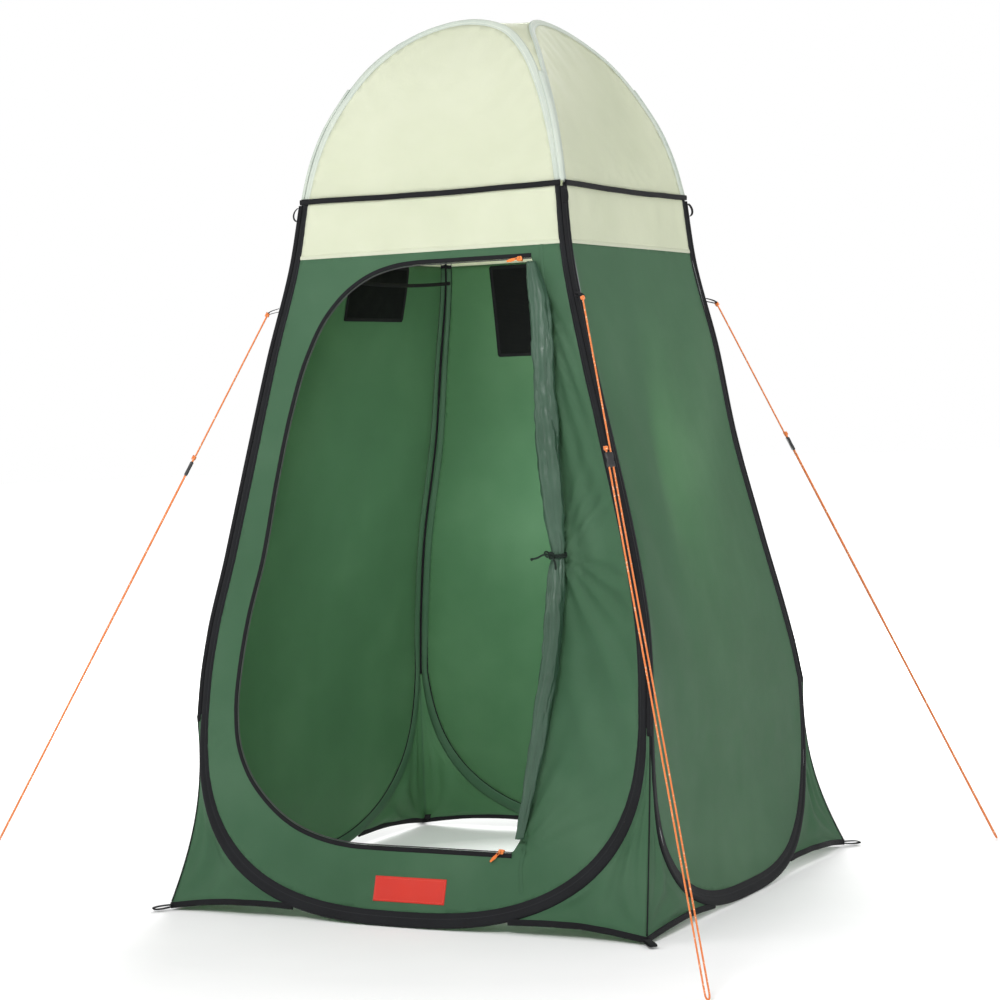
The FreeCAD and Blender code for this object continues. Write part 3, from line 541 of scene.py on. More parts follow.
def weave_height(nt, vec, scale):
    """Plain weave from crossing bands in three directions, so any wall shows it."""
    sep = nt.nodes.new("ShaderNodeSeparateXYZ")
    nt.links.new(vec, sep.inputs[0])
    a = mathn(nt, "SINE", mathn(nt, "MULTIPLY", mathn(nt, "ADD", sep.outputs[0], sep.outputs[1]), scale * 6.2832))
    b = mathn(nt, "SINE", mathn(nt, "MULTIPLY", sep.outputs[2], scale * 6.2832))
    return mathn(nt, "ADD", mathn(nt, "MULTIPLY", a, b), 0.0)


def fabric(name, base, dark, light, rough=.55, sheen=.25, trans=.25, tcol=None, weave=420.0,
           weave_str=.12, crease=.18, painted_top_light=None, spec=.35):
    m, nt, p, out = nodes_of(name)
    tc = nt.nodes.new("ShaderNodeTexCoord")
    vec = tc.outputs["Object"]
    big = noise_node(nt, vec, 2.6, 3, .55)
    mid = noise_node(nt, vec, 23.0, 4, .6, .3)
    fine = noise_node(nt, vec, 900.0, 1, .5)
    col = ramp(nt, big.outputs["Fac"], [(.25, dark), (.5, base), (.78, light)])
    col = mix_col(nt, .16, col, ramp(nt, mid.outputs["Fac"], [(.3, dark), (.7, light)]), "MIX")
    if painted_top_light is not None:
        # painted light: the cloth is painted brighter towards the top, for the sheen that light puts there
        geo = nt.nodes.new("ShaderNodeSeparateXYZ")
        nt.links.new(vec, geo.inputs[0])
        f = maprange(nt, geo.outputs[2], painted_top_light[0], painted_top_light[1], 0.0, painted_top_light[2])
        col = mix_col(nt, f, col, light, "MIX")
    th = weave_height(nt, vec, weave)
    thr = mathn(nt, "MULTIPLY", mathn(nt, "ADD", th, 1.0), .5)
    col = mix_col(nt, mathn(nt, "MULTIPLY", thr, .10), col, (0, 0, 0), "MIX")
    nt.links.new(col, p.inputs["Base Color"])
    r = maprange(nt, mid.outputs["Fac"], .3, .7, rough - .06, rough + .08)
    nt.links.new(r, p.inputs["Roughness"])
    p.inputs["Sheen Weight"].default_value = sheen
    p.inputs["Sheen Roughness"].default_value = .45
    p.inputs["Specular IOR Level"].default_value = spec
    b0 = bump(nt, None, mid.outputs["Fac"], crease, .004)
    b1 = bump(nt, None, th, weave_str, .0004, b0)
    b2 = bump(nt, p, fine.outputs["Fac"], .08, .0004, b1)
    if trans > 0:
        t = nt.nodes.new("ShaderNodeBsdfTranslucent")
        # light that comes through is brighter and yellower than the dyed face
        tc_ = tcol or base
        tint = ramp(nt, big.outputs["Fac"], [(.25, tuple(c * .86 for c in tc_)), (.78, tuple(min(1.0, c * 1.12) for c in tc_))])
        tint = mix_col(nt, mathn(nt, "MULTIPLY", thr, .16), tint, (0, 0, 0))
        nt.links.new(tint, t.inputs["Color"])
        nt.links.new(b1, t.inputs["Normal"])
        mx = nt.nodes.new("ShaderNodeMixShader")
        mx.inputs[0].default_value = trans
        nt.links.new(p.outputs[0], mx.inputs[1])
        nt.links.new(t.outputs[0], mx.inputs[2])
        nt.links.new(mx.outputs[0], out.inputs[0])
    return m


def webbing(name, base, light, rib=700.0, rough=.75, strength=.35, stitch=None, sheen=.15, spec=.3):
    """Woven tape: ribs along the UV's u, with optional rows of stitches at v."""
    m, nt, p, out = nodes_of(name)
    tc = nt.nodes.new("ShaderNodeTexCoord")
    uv = nt.nodes.new("ShaderNodeSeparateXYZ")
    nt.links.new(tc.outputs["UV"], uv.inputs[0])
    obj = tc.outputs["Object"]
    u, v = uv.outputs[0], uv.outputs[1]
    dust = noise_node(nt, obj, 14.0, 4, .6)
    fine = noise_node(nt, obj, 700.0, 2, .5)
    a = mathn(nt, "SINE", mathn(nt, "MULTIPLY", u, rib * 6.2832))
    b = mathn(nt, "SINE", mathn(nt, "MULTIPLY", v, rib * 6.2832))
    h = mathn(nt, "MULTIPLY", a, b)
    col = ramp(nt, dust.outputs["Fac"], [(.35, base), (.72, light)])
    col = mix_col(nt, mathn(nt, "MULTIPLY", mathn(nt, "ADD", h, 1.0), .12), col, (0, 0, 0))
    height = mathn(nt, "ADD", mathn(nt, "MULTIPLY", h, .35), mathn(nt, "MULTIPLY", fine.outputs["Fac"], .5))
    if stitch:
        rows, pitch, scol = stitch
        dash = mathn(nt, "GREATER_THAN", mathn(nt, "FRACT", mathn(nt, "MULTIPLY", u, 1.0 / pitch)), .32)
        acc = None
        for rv in rows:
            d = mathn(nt, "ABSOLUTE", mathn(nt, "SUBTRACT", v, rv))
            line = mathn(nt, "LESS_THAN", d, .00045)
            acc = line if acc is None else mathn(nt, "MAXIMUM", acc, line)
        st = mathn(nt, "MULTIPLY", dash, acc)
        col = mix_col(nt, st, col, scol)
        height = mathn(nt, "ADD", height, mathn(nt, "MULTIPLY", st, 1.5))
    nt.links.new(col, p.inputs["Base Color"])
    nt.links.new(maprange(nt, dust.outputs["Fac"], .3, .7, rough - .08, rough + .1), p.inputs["Roughness"])
    p.inputs["Sheen Weight"].default_value = sheen
    p.inputs["Sheen Roughness"].default_value = .5
    p.inputs["Specular IOR Level"].default_value = spec
    bump(nt, p, height, strength, .0006)
    return m


def plastic(name, base, light, rough=.45, metal=0.0, coat=0.0):
    m, nt, p, out = nodes_of(name)
    tc = nt.nodes.new("ShaderNodeTexCoord")
    obj = tc.outputs["Object"]
    wear = noise_node(nt, obj, 60.0, 4, .6)
    grain = noise_node(nt, obj, 900.0, 2, .5)
    geo = nt.nodes.new("ShaderNodeNewGeometry")
    edge = maprange(nt, geo.outputs["Pointiness"], .50, .60, 0.0, .8)
    col = ramp(nt, wear.outputs["Fac"], [(.35, base), (.75, light)])
    col = mix_col(nt, mathn(nt, "MULTIPLY", edge, wear.outputs["Fac"]), col, tuple(min(1, c * 1.6 + .03) for c in light))
    nt.links.new(col, p.inputs["Base Color"])
    nt.links.new(maprange(nt, wear.outputs["Fac"], .3, .7, rough - .1, rough + .12), p.inputs["Roughness"])
    p.inputs["Metallic"].default_value = metal
    p.inputs["Coat Weight"].default_value = coat
    bump(nt, p, grain.outputs["Fac"], .12, .0003)
    return m


def cordmat(name, a, b, c):
    """Braided cord: crossing diagonal yarns with a fleck."""
    m, nt, p, out = nodes_of(name)
    tc = nt.nodes.new("ShaderNodeTexCoord")
    sep = nt.nodes.new("ShaderNodeSeparateXYZ")
    nt.links.new(tc.outputs["Object"], sep.inputs[0])
    s = mathn(nt, "ADD", sep.outputs[0], sep.outputs[2])
    d = mathn(nt, "SUBTRACT", sep.outputs[1], sep.outputs[2])
    k = 2 * math.pi * 420
    h = mathn(nt, "MULTIPLY", mathn(nt, "SINE", mathn(nt, "MULTIPLY", s, k)), mathn(nt, "SINE", mathn(nt, "MULTIPLY", d, k)))
    f = mathn(nt, "MULTIPLY", mathn(nt, "ADD", h, 1.0), .5)
    n = noise_node(nt, tc.outputs["Object"], 240.0, 2, .5)
    col = mix_col(nt, f, a, b)
    col = mix_col(nt, mathn(nt, "GREATER_THAN", n.outputs["Fac"], .64), col, c)
    nt.links.new(col, p.inputs["Base Color"])
    nt.links.new(maprange(nt, n.outputs["Fac"], .3, .7, .55, .8), p.inputs["Roughness"])
    p.inputs["Sheen Weight"].default_value = .3
    bump(nt, p, h, .5, .0005)
    return m


def netting(name, base, light):
    m, nt, p, out = nodes_of(name)
    tc = nt.nodes.new("ShaderNodeTexCoord")
    sep = nt.nodes.new("ShaderNodeSeparateXYZ")
    nt.links.new(tc.outputs["Object"], sep.inputs[0])
    k = 2 * math.pi * 300
    a = mathn(nt, "ABSOLUTE", mathn(nt, "SINE", mathn(nt, "MULTIPLY", mathn(nt, "ADD", sep.outputs[0], sep.outputs[1]), k / 2)))
    b = mathn(nt, "ABSOLUTE", mathn(nt, "SINE", mathn(nt, "MULTIPLY", sep.outputs[2], k / 2)))
    thread = mathn(nt, "MAXIMUM", a, b)
    n = noise_node(nt, tc.outputs["Object"], 30.0, 3, .5)
    col = mix_col(nt, mathn(nt, "POWER", thread, 6.0), base, light)
    col = mix_col(nt, mathn(nt, "MULTIPLY", n.outputs["Fac"], .3), col, (.01, .012, .012))
    nt.links.new(col, p.inputs["Base Color"])
    nt.links.new(maprange(nt, n.outputs["Fac"], .3, .7, .7, .9), p.inputs["Roughness"])
    p.inputs["Specular IOR Level"].default_value = .08
    bump(nt, p, thread, .5, .0006)
    return m


G_BASE, G_DARK, G_LIGHT = (.068, .160, .088), (.056, .140, .072), (.110, .210, .130)
# the green cloth gets painted light, brighter towards its top
M_GREEN = fabric("green_cloth", G_BASE, G_DARK, G_LIGHT, rough=.52, sheen=.04, trans=.36, spec=.15,
                 tcol=(.27, .48, .25), painted_top_light=(.5, 1.5, .25))
M_GREEN_SIDE = M_GREEN
M_CREAM = fabric("cream_cloth", (.76, .79, .62), (.70, .74, .56), (.82, .84, .70), rough=.5, sheen=.03, trans=.33, spec=.15,
                 tcol=(.76, .80, .60), weave_str=.10, crease=.22)
M_ARCH = webbing("pale_sleeve", (.50, .56, .50), (.57, .62, .54), rib=500, rough=.7, strength=.2,
                 stitch=((-.0050, .0045), .0036, (.64, .68, .58)), sheen=.05, spec=.2)
M_BLACK = webbing("black_sleeve", (.0075, .008, .0095), (.014, .015, .017), rib=600, rough=.72, strength=.35,
                  stitch=((.0040,), .0036, (.030, .031, .034)), sheen=.03, spec=.16)
M_TAPE = webbing("black_tape", (.0075, .0075, .009), (.014, .0145, .016), rib=650, rough=.78, strength=.45, sheen=.03, spec=.16)
M_MESH = netting("black_net", (.003, .0035, .0035), (.010, .011, .0105))
M_ORANGE = cordmat("orange_cord", (.80, .22, .035), (.66, .15, .02), (.92, .55, .35))
M_PULL = webbing("orange_pull", (.78, .16, .02), (.88, .25, .05), rib=700, rough=.6, strength=.4)
M_PLASTIC = plastic("black_plastic", (.012, .012, .013), (.022, .022, .023), .42)
M_SLIDER = plastic("orange_lacquer", (.70, .17, .03), (.80, .26, .06), .35, metal=0.0, coat=.3)
M_COIL = plastic("zip_coil", (.010, .010, .011), (.03, .03, .03), .4)
M_STEEL = plastic("spring_steel", (.30, .31, .32), (.42, .43, .44), .35, metal=1.0)
M_LABEL = fabric("label_cloth", (.60, .026, .013), (.53, .020, .010), (.66, .040, .020), rough=.6, sheen=.1, trans=0,
                 weave=900.0, weave_str=.35, crease=.05)

# =====================================================================
#  Camera and cords first
# =====================================================================
def make_camera():
    az, el, dist, roll, f = 27.6175, 2.3439, 6.0958, -2.0367, 2552.4
    T = np.array([-.0175, -.0091, .9071])
    a, e, r = map(math.radians, (az, el, roll))
    back = np.array([math.sin(a) * math.cos(e), -math.cos(a) * math.cos(e), math.sin(e)])
    C = T + back * dist
    x = np.cross((0, 0, 1), back)
    x /= np.linalg.norm(x)
    y = np.cross(back, x)
    x2 = x * math.cos(r) + y * math.sin(r)
    y2 = -x * math.sin(r) + y * math.cos(r)
    cam = bpy.data.cameras.new("camera")
    cam.sensor_width = 36.0
    cam.lens = f * 36.0 / 1000.0
    cam.clip_end = 100
    o = bpy.data.objects.new("camera", cam)
    bpy.context.scene.collection.objects.link(o)
    o.matrix_world = Matrix([(x2[0], y2[0], back[0], C[0]), (x2[1], y2[1], back[1], C[1]),
                             (x2[2], y2[2], back[2], C[2]), (0, 0, 0, 1)])
    bpy.context.scene.camera = o
    return o


make_camera()

# guy lines: start at the top knot, corner points of the turn, end at the stop knot
GUYS = {
    "fl": ((-.40702, -.39733, 1.35781), (-.96696, -.91532, .00690), (-.97308, -.90871, .00690), (-.54725, -.51480, 1.03423)),
    "fr": ((.40648, -.39805, 1.35790), (.91147, -1.00113, .00690), (.90457, -1.00691, .00690), (.52060, -.54836, 1.03414)),
    "br": ((.39057, .39643, 1.35747), (.92730, .80360, .00690), (.93274, .79643, .00690), (.52434, .48661, 1.03455)),
    "bl": ((-.39062, .39702, 1.35769), (-.94297, .87662, .00690), (-.93707, .88342, .00690), (-.51694, .51862, 1.03434)),
}


def knot_mesh(name, centre, line, r=.0042, length=.011, turns=3, cord=.0030):
    """A wrapped knot: the cord's own turns round itself."""
    line = Vector(line).normalized()
    a = line.orthogonal().normalized()
    b = line.cross(a)
    pts = []
    n = 90
    for i in range(n + 1):
        t = i / n
        ang = t * turns * 2 * math.pi
        rr = r * .62 * (1 + .10 * math.sin(3.1 * ang))
        off = line * ((t - .5) * length * .72)
        pts.append(Vector(centre) + off + a * (rr * math.cos(ang)) + b * (rr * math.sin(ang)))
    return pts


def sweep_points(name, pts, radius, sides=8, mat=None, taper=None, flat=1.0, uvscale=1.0):
    """Round tube along points, parallel-transported."""
    P = [Vector(p) for p in pts]
    n = len(P)
    tang = [(P[min(i + 1, n - 1)] - P[max(i - 1, 0)]).normalized() for i in range(n)]
    u = tang[0].orthogonal().normalized()
    secs, uvs, run = [], [], 0.0
    for i in range(n):
        u = (u - tang[i] * u.dot(tang[i])).normalized()
        v = tang[i].cross(u)
        r = radius * (taper(i / (n - 1)) if taper else 1.0)
        if i:
            run += (P[i] - P[i - 1]).length
        ring = []
        for k in range(sides):
            t = 2 * math.pi * k / sides
            ring.append(P[i] + u * (r * math.cos(t)) + v * (r * flat * math.sin(t)))
            uvs.append((run * uvscale, r * t))
        secs.append([tuple(q) for q in ring])
    return tube_sections(name, np.array(secs), mat=mat, uv=uvs)


guy_made = {}
for tag, (A, G1, G2, B) in GUYS.items():
    A, G1, G2, B = map(Vector, (A, G1, G2, B))
    line = (G1 - A).normalized()
    pts = [A, G1 - line * .024, G1 + line * .0045, G2 + line * .0045, G2 - line * .024, B]
    cu = bpy.data.curves.new("guy_cord_" + tag, "CURVE")
    cu.dimensions = "3D"
    sp = cu.splines.new("NURBS")
    sp.points.add(len(pts) - 1)
    for q, p in zip(sp.points, pts):
        q.co = (*p, 1)
    sp.order_u = 3
    sp.use_endpoint_u = True
    sp.resolution_u = 16
    cu.bevel_depth = .0020
    cu.bevel_resolution = 3
    cu.use_fill_caps = True
    cu.materials.append(M_ORANGE)
    o = bpy.data.objects.new("guy_cord_" + tag, cu)
    bpy.context.scene.collection.objects.link(o)
    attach(o, "tent")
    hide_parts("guy_line_" + tag)
    # knots
    top = sweep_points("guy_top_knot_" + tag, knot_mesh("k", A - line * .0045, line, r=.0052), .0020, 8, M_ORANGE)
    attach(top, "tent")
    stop = sweep_points("guy_stop_knot_" + tag, knot_mesh("k", B - line * .004, line, r=.0052), .0020, 8, M_ORANGE)
    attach(stop, "tent")
    if tag == "fl":
        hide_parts("guy_knots")
    L = (G1 - A).length
    total = L + .009 * 1.3 + (B - G2).length
    guy_made[tag] = (o, A, total, top, stop)


# =====================================================================
#  Hoop sleeves
# =====================================================================
def sleeve_section(w, half, seed_phase=0.0):
    """Cross-section of a sewn sleeve round a flat spring: x from the folded
    edge (minus) to the sewn edge (plus), y out of the wall."""
    e = -w / 2
    m = min(1.0, w / .020)
    up = [(e, 0.0), (e + .0008, half * .42), (e + .0024, half * .74), (e + .0046, half * .94),
          (e + .0080 * m, half), (e + .0112 * m, half * .88), (e + .0136 * m, half * .60), (e + .0152 * m, half * .40),
          (e + .0166 * m, half * .30), (w / 2 - .0012, half * .24), (w / 2, half * .10)]
    lo = [(x, -y) for x, y in up[::-1][:-1]]
    return up + lo


def build_sleeve(name, P, S, Nn, W, half, mat, seed, caps=True):
    nz = Noise(seed)
    secs, uvs = [], []
    run = np.r_[0, np.cumsum(np.linalg.norm(np.diff(P, axis=0), axis=1))]
    for i in range(len(P)):
        sec = sleeve_section(float(W[i]), half)
        k = 1 + .10 * float(nz(run[i] * 14, .5)) + .05 * float(nz(run[i] * 60, 7.5))
        ring = []
        for x, y in sec:
            # sewn edge puckers a little between stitches
            pk = .00035 * float(nz(run[i] * 110, 20.5)) if x > 0 else 0.0
            ring.append(P[i] + S[i] * x + Nn[i] * (y * k + pk))
            uvs.append((run[i], x))
        secs.append(ring)
    return tube_sections(name, np.array(secs), mat=mat, uv=uvs, caps=caps)


def hoop_frames(name):
    p2 = hoop_2d(name)
    t, s = frame_2d(p2)
    for arr in (s,):
        arr[:] = smooth_line(arr, 4)
        arr /= np.linalg.norm(arr, axis=1)[:, None]
    s[0], s[-1] = (1, 0), (-1, 0)
    P = surf(name, p2[:, 0], p2[:, 1])
    d = .002
    S = surf(name, p2[:, 0] + s[:, 0] * d, p2[:, 1] + s[:, 1] * d) - surf(name, p2[:, 0] - s[:, 0] * d, p2[:, 1] - s[:, 1] * d)
    S /= np.linalg.norm(S, axis=1)[:, None]
    T = np.gradient(P, axis=0)
    T /= np.linalg.norm(T, axis=1)[:, None]
    Nn = np.cross(S, T)
    Nn /= np.linalg.norm(Nn, axis=1)[:, None]
    out = side_vec(name, 0, 1, 0)
    Nn *= np.sign(Nn @ out)[:, None]
    return p2, s, P, S, Nn


HOOP = {}
for k, name in enumerate(("front", "right", "back", "left")):
    p2, s2, P, S, Nn = hoop_frames(name)
    W = sleeve_w(p2[:, 1])
    # keep the folded edge off the ground
    o = build_sleeve("sleeve_" + name, P, S, Nn, W, .0044, M_BLACK, 11 + k)
    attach(o, "tent"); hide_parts("hoop_sleeve_" + name)
    HOOP[name] = (p2, s2, W)

tilt_f = pchip([1.62, 1.695, 1.775, 1.855, 1.932, 2.002, 2.024], [0, 13, 26, 37, 43, 44, 44])
ARCH = {}
for k, name in enumerate(("front", "right", "back", "left")):
    P = smooth_line(arch_line(name), 2)
    T = np.gradient(P, axis=0)
    T /= np.linalg.norm(T, axis=1)[:, None]
    tl = np.radians(tilt_f(P[:, 2]))
    out, up = side_vec(name, 0, 1, 0), np.array([0, 0, 1.0])
    Nn = np.cos(tl)[:, None] * out + np.sin(tl)[:, None] * up
    Nn = Nn - T * np.sum(Nn * T, axis=1)[:, None]
    Nn /= np.linalg.norm(Nn, axis=1)[:, None]
    S = np.cross(Nn, T)
    S /= np.linalg.norm(S, axis=1)[:, None]
    mid = P.mean(0)
    S *= np.sign(np.sum(S * (mid - P), axis=1))[:, None]
    W = .0138 + .0050 * smoothstep(P[:, 2], 1.62, 1.90)
    P = P - S * ((.020 - W) / 2)[:, None]
    o = build_sleeve("arch_" + name, P, S, Nn, W, .0038, M_ARCH, 31 + k)
    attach(o, "tent"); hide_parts("arch_sleeve_" + name)
    ARCH[name] = (P, S, Nn)

# =====================================================================
#  Wall panels
# =====================================================================
def wall_outline(name):
    """Cloth edge inside the sleeve mouth, in the wall's plane."""
    p2, s2, W = HOOP[name]
    q = p2 + s2 * (W / 2 - .004)[:, None]
    return q


def clip_above(poly, z):
    """Part of a closed outline above z."""
    return _clip(poly, z, True)


def clip_below(poly, z):
    return _clip(poly, z, False)


def _clip(poly, z, above):
    out = []
    n = len(poly)
    f = (lambda p: p[1] >= z) if above else (lambda p: p[1] <= z)
    for i in range(n):
        a, b = poly[i], poly[(i + 1) % n]
        if f(a):
            out.append(a)
        if f(a) != f(b):
            t = (z - a[1]) / (b[1] - a[1])
            out.append(a + t * (b - a))
    return np.array(out)


def facing(name, z_lo, z_hi, mat, seed):
    """Cloth that lines a sleeve on the inside, from the panel to the corner tape."""
    p2, s2, W = HOOP[name]
    keep = (p2[:, 1] >= z_lo) & (p2[:, 1] <= z_hi)
    runs, cur = [], []
    for i, k in enumerate(keep):
        if k:
            cur.append(i)
        elif cur:
            runs.append(cur)
            cur = []
    if cur:
        runs.append(cur)
    out = []
    nz = Noise(seed)
    nrm = side_vec(name, 0, 1, 0)
    for r in runs:
        r = np.array(r)
        cols = []
        for f_, y in ((1.0, -.0016), (.72, -.0030), (.40, -.0046), (.05, -.0056), (-.30, -.0060), (-.60, -.0060), (-.84, -.0056), (-1.04, -.0044)):
            # along the corner the facing laps over the sleeve's sewn edge
            lap = 1 + .55 * np.clip((p2[r][:, 1] - .42) / .12, 0, 1) * (f_ == 1.0)
            q = p2[r] + s2[r] * (f_ * lap * (W[r] / 2 - .0035))[:, None]
            P = surf(name, q[:, 0], q[:, 1])
            yy = y * (1 + .12 * nz(q[:, 0] * 9 + q[:, 1] * 13, np.full(len(r), f_ * 2)))
            cols.append(P + nrm * yy[:, None])
        V_ = np.array(cols)
        m = len(r)
        F_ = [(j * m + i, j * m + i + 1, (j + 1) * m + i + 1, (j + 1) * m + i) for j in range(len(cols) - 1) for i in range(m - 1)]
        o = link("facing", V_.reshape(-1, 3), F_, uv=np.stack([V_[..., 0] + V_[..., 1], V_[..., 2]], -1).reshape(-1, 2), mat=mat)
        fix_normals(o)
        out.append(o)
    return out


EDGE = [(.168, .270), (.205, .284), (.280, .300), (.360, .314), (.460, .330), (.580, .344), (.690, .350),
        (.806, .349), (.880, .343), (.980, .333), (1.100, .323), (1.230, .315), (1.340, .304), (1.395, .290),
        (1.446, .272), (1.458, .266)]
edge_x = pchip([e[0] for e in EDGE], [e[1] for e in EDGE])


def door_curve():
    """Smooth line of the zip, from the top right corner round to the bottom right."""
    p = np.array(DOOR, float)
    t = np.r_[0, np.cumsum(np.linalg.norm(np.diff(p, axis=0), axis=1))]
    out = []
    n = len(p)
    for i in range(n - 1):
        p1, p2 = p[i], p[i + 1]
        p0 = p[i - 1] if i else 2 * p1 - p2
        p3 = p[i + 2] if i + 2 < n else 2 * p2 - p1
        h, h0, h2 = t[i + 1] - t[i], np.linalg.norm(p1 - p0), np.linalg.norm(p3 - p2)
        m1 = ((p2 - p1) / h * h0 + (p1 - p0) / h0 * h) / (h0 + h) * h
        m2 = ((p3 - p2) / h2 * h + (p2 - p1) / h * h2) / (h + h2) * h
        if i < 2:
            m1 = (p2 - p1); m2 = (p2 - p1)
        for u in np.linspace(0, 1, 14)[:-1]:
            out.append((2 * u**3 - 3 * u**2 + 1) * p1 + (u**3 - 2 * u**2 + u) * m1
                       + (-2 * u**3 + 3 * u**2) * p2 + (u**3 - u**2) * m2)
    out.append(p[-1])
    return np.array(out)


ZIP = door_curve()
zz_ = np.linspace(.168, 1.458, 60)[1:-1]
DOOR_POLY = np.vstack([ZIP, np.stack([edge_x(zz_), zz_], 1)])

n1, n2, n3, n4, n5 = (Noise(s) for s in (101, 102, 103, 104, 105))


def wr_front(a, z):
    w = .0035 * n1(a * 3.2 + 4, z * 2.4) + .0011 * n2(a * 11, z * 7)
    # cloth hangs slack from the top right corner of the opening and from the tie
    w = w + fan(a, z, .250, 1.475, .62, 5.5, .0110, -88, -58, 201, r0=.05)
    w = w + fan(a, z, .335, .822, .34, 4.5, .0130, -84, -8, 202, r0=.03)
    w = w + fan(a, z, .340, .795, .26, 4.0, .0085, 30, 86, 203, r0=.03)
    w = w + fan(a, z, .262, .155, .30, 5.0, .0072, 12, 84, 204, r0=.03)
    # drag lines down to the corner hoop, and from the opening's lower left
    w = w + .0030 * np.sin((a * 1.6 + z) * 30 + 2.2 * n3(a * 4, z * 4)) * smoothstep(a, .33, .42) * smoothstep(-z, -1.25, -.6)
    w = w + fan(a, z, -.475, .42, .22, 3.0, .0045, 190, 262, 205, r0=.02)
    # long soft pull lines below the label and on the left
    w = w + .0016 * np.sin((a * .55 + z) * 34 + 2.0 * n3(a * 3, z * 3)) * smoothstep(-z, -.55, -.2) * smoothstep(a, .0, .25)
    return w


def wr_right(a, z):
    w = .0060 * n2(a * 2.4 + 9, z * 1.3 + 3) + .0018 * n3(a * 7, z * 3.2) + .0006 * n4(a * 22, z * 12)
    w = w + .0022 * np.sin((a * 1.3 + z * .35) * 24 + 2.4 * n1(a * 2, z * 2)) * smoothstep(z, .2, .6) * smoothstep(-z, -1.4, -.9) * smoothstep(-a, -.1, .4)
    return w


def wr_left(a, z):
    return .0055 * n3(a * 2.2 + 19, z * 1.4 + 7) + .0016 * n4(a * 8, z * 3.4) + .0005 * n5(a * 20, z * 12)


def wr_back(a, z):
    w = .0055 * n4(a * 2.3 + 29, z * 1.5 + 2) + .0016 * n5(a * 8, z * 4)
    for zc_, amp in ((1.24, .0012), (.98, .0007)):
        w = w + amp * np.exp(-((z - zc_ - .01 * n1(a * 3, 2)) / .006) ** 2)
    return w


WR = {"front": wr_front, "right": wr_right, "back": wr_back, "left": wr_left}


def grid_sheet(oname, wall, outline, holes, step, wr, mat, thick, off=0.0, edge=.030, hold=None):
    v, f, border = fill_2d(outline, holes, step)
    loops = [outline] + list(holes)
    d = np.minimum.reduce([dist_poly(v, resample(np.vstack([L, L[:1]]), .02)[:-1]) for L in (loops[:1] if hold is None else hold)])
    w = wr(v[:, 0], v[:, 1]) * smoothstep(d, 0, edge)
    P = surf(wall, v[:, 0], v[:, 1], off + w)
    o = link(oname, P, f, uv=v, mat=mat)
    fix_normals(o)
    # face the normals outwards
    out = side_vec(wall, 0, 1, 0)
    if np.dot(np.array(o.data.polygons[0].normal), out) < 0:
        o.data.flip_normals()
    area = sum(p.area for p in o.data.polygons)
    if thick:
        solidify(o, thick)
    return o, area


STEP = .010
# cloth area of each piece
areas = {}
for name in ("front", "right", "back", "left"):
    q = wall_outline(name)
    green = clip_below(q, SEAM_Z)
    holes = []
    if name == "front":
        holes = [DOOR_POLY]
    elif name == "left":
        y0, y1, z0, z1 = WIN_LEFT
        holes = [np.array([(y0 + .008, z0 + .008), (y1 - .008, z0 + .008), (y1 - .008, z1 - .008), (y0 + .008, z1 - .008)])]
    elif name == "back":
        x0, x1, z0, z1 = WIN_BACK
        holes = [np.array([(x0 + .008, z0 + .008), (x1 - .008, z0 + .008), (x1 - .008, z1 - .008), (x0 + .008, z1 - .008)])]
    hold = [green, ZIP] if name == "front" else None
    o, ar = grid_sheet("cloth_" + name, name, green, holes, STEP, WR[name], M_GREEN, .0008, hold=hold)
    fc = facing(name, 0.0, SEAM_Z, M_GREEN, 131)
    for q_ in fc:
        ar += sum(p.area for p in q_.data.polygons)
        solidify(q_, .0006)
    o = join_objs("cloth_" + name, [o] + fc)
    areas["wall_" + name] = ar
    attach(o, "tent"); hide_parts("wall_" + name)
    band = clip_above(q, SEAM_Z + .0002)
    o, ar = grid_sheet("pale_" + name, name, band, [], STEP, lambda a, z: .0022 * n2(a * 6 + 3, z * 5) + .0012 * np.sin(a * 60 + 3 * n1(a * 9, z * 9)) * smoothstep(z, 1.50, 1.60),
                       M_CREAM, .0008, edge=.02)
    fc = facing(name, SEAM_Z + .001, RING_Z, M_CREAM, 141)
    for q_ in fc:
        ar += sum(p.area for p in q_.data.polygons)
        solidify(q_, .0006)
    o = join_objs("pale_" + name, [o] + fc)
    areas["band_" + name] = ar
    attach(o, "tent"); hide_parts("band_" + name)


def strip_on_wall(oname, wall, line, width, off, mat, body="tent", lift=.0, closed=False, thick=.0006, wr=None, step=.006):
    """Tape of a width along a line in the wall's plane, on its surface."""
    p = resample(line, step)
    t = np.gradient(p, axis=0)
    t /= np.linalg.norm(t, axis=1)[:, None]
    nrm = np.stack([t[:, 1], -t[:, 0]], 1)
    run = np.r_[0, np.cumsum(np.linalg.norm(np.diff(p, axis=0), axis=1))]
    cols = [-.5, -.44, -.15, .15, .44, .5]
    rise = [0.0, 1.0, 1.12, 1.12, 1.0, 0.0]
    V_, UV = [], []
    for c, r in zip(cols, rise):
        q = p + nrm * (c * width)
        w = wr(q[:, 0], q[:, 1]) if wr is not None else 0.0
        V_.append(surf(wall, q[:, 0], q[:, 1], off + w + r * thick))
        UV.append(np.stack([run, np.full(len(p), c * width)], 1))
    V_, UV = np.array(V_), np.array(UV)
    m = len(p)
    faces = [(i * m + j, i * m + j + 1, (i + 1) * m + j + 1, (i + 1) * m + j) for i in range(len(cols) - 1) for j in range(m - 1)]
    o = link(oname, V_.reshape(-1, 3), faces, uv=UV.reshape(-1, 2), mat=mat)
    fix_normals(o)
    return o


# wall cloth displacement with the same hold at the edges, for what lies on it
_q = clip_below(wall_outline("front"), SEAM_Z)


